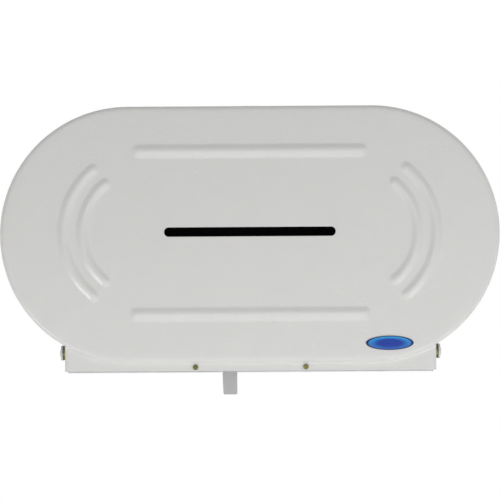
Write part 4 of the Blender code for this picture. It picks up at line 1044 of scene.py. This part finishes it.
def badge_blue():
    """Blue oval: navy at the rim, deep blue in the middle, and between them a painted highlight,
    paler towards the top, where the dome catches light.
    """
    material, tree, inputs, place = new_material("badge_enamel", 0.25)
    low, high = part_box("badge_plate")
    middle = [(a + b) / 2 for a, b in zip(low, high)]
    from_middle = vector_math(tree, "SUBTRACT", place, middle)[0]
    to_shares = (2 / (high[0] - low[0]), 0.0, 2 / (high[2] - low[2]))
    share = vector_math(tree, "MULTIPLY", from_middle, to_shares)[0]
    out = vector_math(tree, "LENGTH", share)["Value"]
    rise = add(tree, "ShaderNodeSeparateXYZ", links={0: share}).outputs["Z"]
    # Painted highlight: a pale band inside the rim, stronger towards the top, stands in for the
    # light the domed badge catches.
    highlight_band = spread(tree, out, (0.50, 0.84))
    painted_top_light = spread(tree, rise, (-0.9, 0.8), (0.15, 1.0))
    links = {0: highlight_band, 1: painted_top_light}
    painted_highlight = add(tree, "ShaderNodeMath", {"operation": "MULTIPLY"}, links=links).outputs[0]
    deep_blue = (0.016, 0.048, 0.340)
    highlight_blue = (0.045, 0.370, 0.800)
    navy = (0.010, 0.020, 0.100)
    body = blend(tree, painted_highlight, deep_blue, highlight_blue)
    colour = blend(tree, spread(tree, out, (0.87, 0.93)), body, navy)
    cloud = noise(tree, place, scale=300.0, detail=2.0)
    gloss = spread(tree, cloud, (0.3, 0.7), (0.22, 0.32))
    tree.links.new(colour, inputs["Base Color"])
    tree.links.new(gloss, inputs["Roughness"])
    inputs["Specular IOR Level"].default_value = 0.15
    return material


def shade_black_window():
    """Window coloured near black and without gloss, as painted shade for the unlit inside seen
    through the slot, with a faint haze.
    """
    material, tree, inputs, place = new_material("shade_black_window", 0.35)
    haze = noise(tree, place, scale=120.0, detail=3.0)
    # Painted shade: the window's near-black colour and missing gloss stand in for the dark inside
    # behind it.
    colour = blend(tree, haze, (0.0010, 0.0010, 0.0012), (0.0022, 0.0022, 0.0024))
    tree.links.new(colour, inputs["Base Color"])
    inputs["Specular IOR Level"].default_value = 0.0
    return material


def moulded():
    """Black nylon with a fine sparked grain."""
    material, tree, inputs, place = new_material("moulded_black", 0.5)
    height, mottle = use_group(tree, orange_peel, place, Grain=1500.0)
    colour = blend(tree, mottle, (0.070, 0.070, 0.074), (0.095, 0.095, 0.100))
    tree.links.new(colour, inputs["Base Color"])
    tree.links.new(spread(tree, mottle, (0.3, 0.7), (0.44, 0.56)), inputs["Roughness"])
    bump(tree, inputs, height, POWDER_BUMP, 0.00008)
    return material


orange_peel = orange_peel_group()
metal_grain = grain_group()

white_powder = powder_coat(
    "white_powder_coat", (0.648, 0.645, 0.630), roughness=0.29, grain=520.0, depth=0.00042
)
grey_powder = powder_coat(
    "grey_powder_coat", (0.430, 0.430, 0.430), roughness=0.45, grain=800.0, depth=0.00008
)
badge_enamel = badge_blue()
smoked = shade_black_window()
moulded_black = moulded()
bright_zinc = metal(
    "bright_zinc", light=(0.56, 0.57, 0.59), dark=(0.46, 0.47, 0.48),
    roughness=0.36, stretch=(1.0, 1.0, 1.0), depth=0.00003,
)
# Yellow zinc with tones darkened well below lit plating: painted shade for the bushes in the
# cover's shadow and the screws down in their holes.
yellow_zinc = metal(
    "yellow_zinc", light=(0.20, 0.18, 0.07), dark=(0.12, 0.12, 0.04),
    roughness=0.34, stretch=(1.0, 1.0, 1.0), depth=0.00003,
)
# Stainless with its tones set far below bright steel: painted shade for the dark line the tear edge
# makes under the chin.
stainless = metal(
    "shaded_brushed_stainless", light=(0.26, 0.26, 0.27), dark=(0.20, 0.20, 0.21),
    roughness=0.34, stretch=(0.04, 1.0, 1.0), depth=0.00004,
)
rolled_zinc = metal(
    "rolled_zinc", light=(0.56, 0.57, 0.59), dark=(0.47, 0.48, 0.49),
    roughness=0.40, stretch=(0.05, 1.0, 1.0), depth=0.00003,
)
chrome = metal(
    "lock_chrome", light=(0.72, 0.72, 0.74), dark=(0.66, 0.66, 0.68),
    roughness=0.14, stretch=(1.0, 1.0, 0.3), depth=0.00001,
)

# Pieces that keep the node's own shape: node, name, width of the eased edges, body, slot, finish
EASED_PIECES = (
    ("back_plate", "wall_plate", 0.0004, "wall_unit", "white_powder", white_powder),
    ("catch_bracket", "catch", 0.0003, "wall_unit", "zinc", rolled_zinc),
    ("front_guide_rail", "front_rail", 0.0002, "cover", "zinc", rolled_zinc),
    ("rear_guide_rail", "rear_rail", 0.0002, "cover", "zinc", rolled_zinc),
    ("tear_bar", "tear_edge", 0.0001, "cover", "stainless", stainless),
    ("sight_window", "window", 0.0003, "cover", "smoked", smoked),
    ("lock_plug", "key_plug", 0.0002, "lock_rotor", "chrome", chrome),
    ("lock_cam", "cam", 0.0003, "lock_rotor", "zinc", bright_zinc),
    ("lock_cam_screw", "cam_screw", 0.0002, "lock_rotor", "zinc", bright_zinc),
)


def make_stage():
    """Pale floor below the hanging object. The camera sees it near white, with its shadow."""
    bpy.ops.mesh.primitive_plane_add(size=FLOOR_SIZE, location=(0, 0, cad_low[2] - FLOOR_DROP))
    floor = bpy.context.object
    floor.name = "floor"
    material, tree, inputs, place = new_material("pale_floor", 0.9)
    cloud = noise(tree, place, scale=3.0, detail=2.0)
    tone = blend(tree, cloud, (0.88, 0.88, 0.88), (0.90, 0.90, 0.90))
    tree.links.new(tone, inputs["Base Color"])
    seen = add(tree, "ShaderNodeLightPath").outputs["Is Camera Ray"]
    tree.links.new(spread(tree, seen, (0.0, 1.0), (0.0, FLOOR_GLOW)), inputs["Emission Strength"])
    inputs["Emission Color"].default_value = WHITE
    floor.data.materials.append(material)


def make_world():
    """Even pale surroundings, white where the camera, gloss or glass looks past the object.

    As light on matt faces they are weaker in front of the object than behind it.
    """
    world = bpy.data.worlds.new("studio")
    bpy.context.scene.world = world
    world.use_nodes = True
    tree = world.node_tree
    path = add(tree, "ShaderNodeLightPath").outputs
    seen = path["Is Camera Ray"]
    for name in ("Is Glossy Ray", "Is Transmission Ray"):
        links = {0: seen, 1: path[name]}
        seen = add(tree, "ShaderNodeMath", {"operation": "MAXIMUM"}, links=links).outputs[0]
    ray = add(tree, "ShaderNodeTexCoord").outputs["Generated"]
    depth = add(tree, "ShaderNodeSeparateXYZ", links={0: ray}).outputs["Y"]
    ambient = spread(tree, depth, (-0.1, 0.1), (FRONT_AMBIENT, REAR_AMBIENT))
    values = {1: 0.0, 2: 1.0, 4: 1.0}
    links = {0: seen, 3: ambient}
    strength = add(tree, "ShaderNodeMapRange", values=values, links=links).outputs[0]
    background = tree.nodes["Background"]
    tree.links.new(strength, background.inputs["Strength"])
    background.inputs["Color"].default_value = WHITE


def make_light(name, place, size, power):
    """Square soft box turned towards the origin, in the middle of the object's back."""
    data = bpy.data.lights.new(name, "AREA")
    data.shape = "SQUARE"
    data.size = size
    data.energy = power
    light = bpy.data.objects.new(name, data)
    bpy.context.scene.collection.objects.link(light)
    light.location = place
    aim = Vector() - Vector(place)
    light.rotation_euler = aim.to_track_quat("-Z", "Y").to_euler()


def make_camera():
    """Camera straight in front, turned by a third of a degree as the photograph is."""
    data = bpy.data.cameras.new("camera")
    data.sensor_width = SENSOR_WIDTH
    data.lens = SENSOR_WIDTH * CAMERA_DISTANCE / FIELD_WIDTH
    data.clip_start = CLIP_START
    data.clip_end = CLIP_END
    camera = bpy.data.objects.new("camera", data)
    bpy.context.scene.collection.objects.link(camera)
    camera.location = (0, FACE_Y + FIELD_DEPTH - CAMERA_DISTANCE, CAMERA_RISE)
    camera.rotation_euler = (math.pi / 2, CAMERA_ROLL, 0)
    bpy.context.scene.camera = camera


bpy.context.scene.view_settings.view_transform = "Standard"
make_camera()
make_stage()
make_world()
for soft_box in SOFT_BOXES:
    make_light(*soft_box)

make_cover()
make_badge()
make_shutter()
make_hinges()
make_spindles()
make_front_fasteners()
make_lock()
eased = {row[0]: eased_copy(*row) for row in EASED_PIECES}
lower_teeth(eased["tear_bar"])
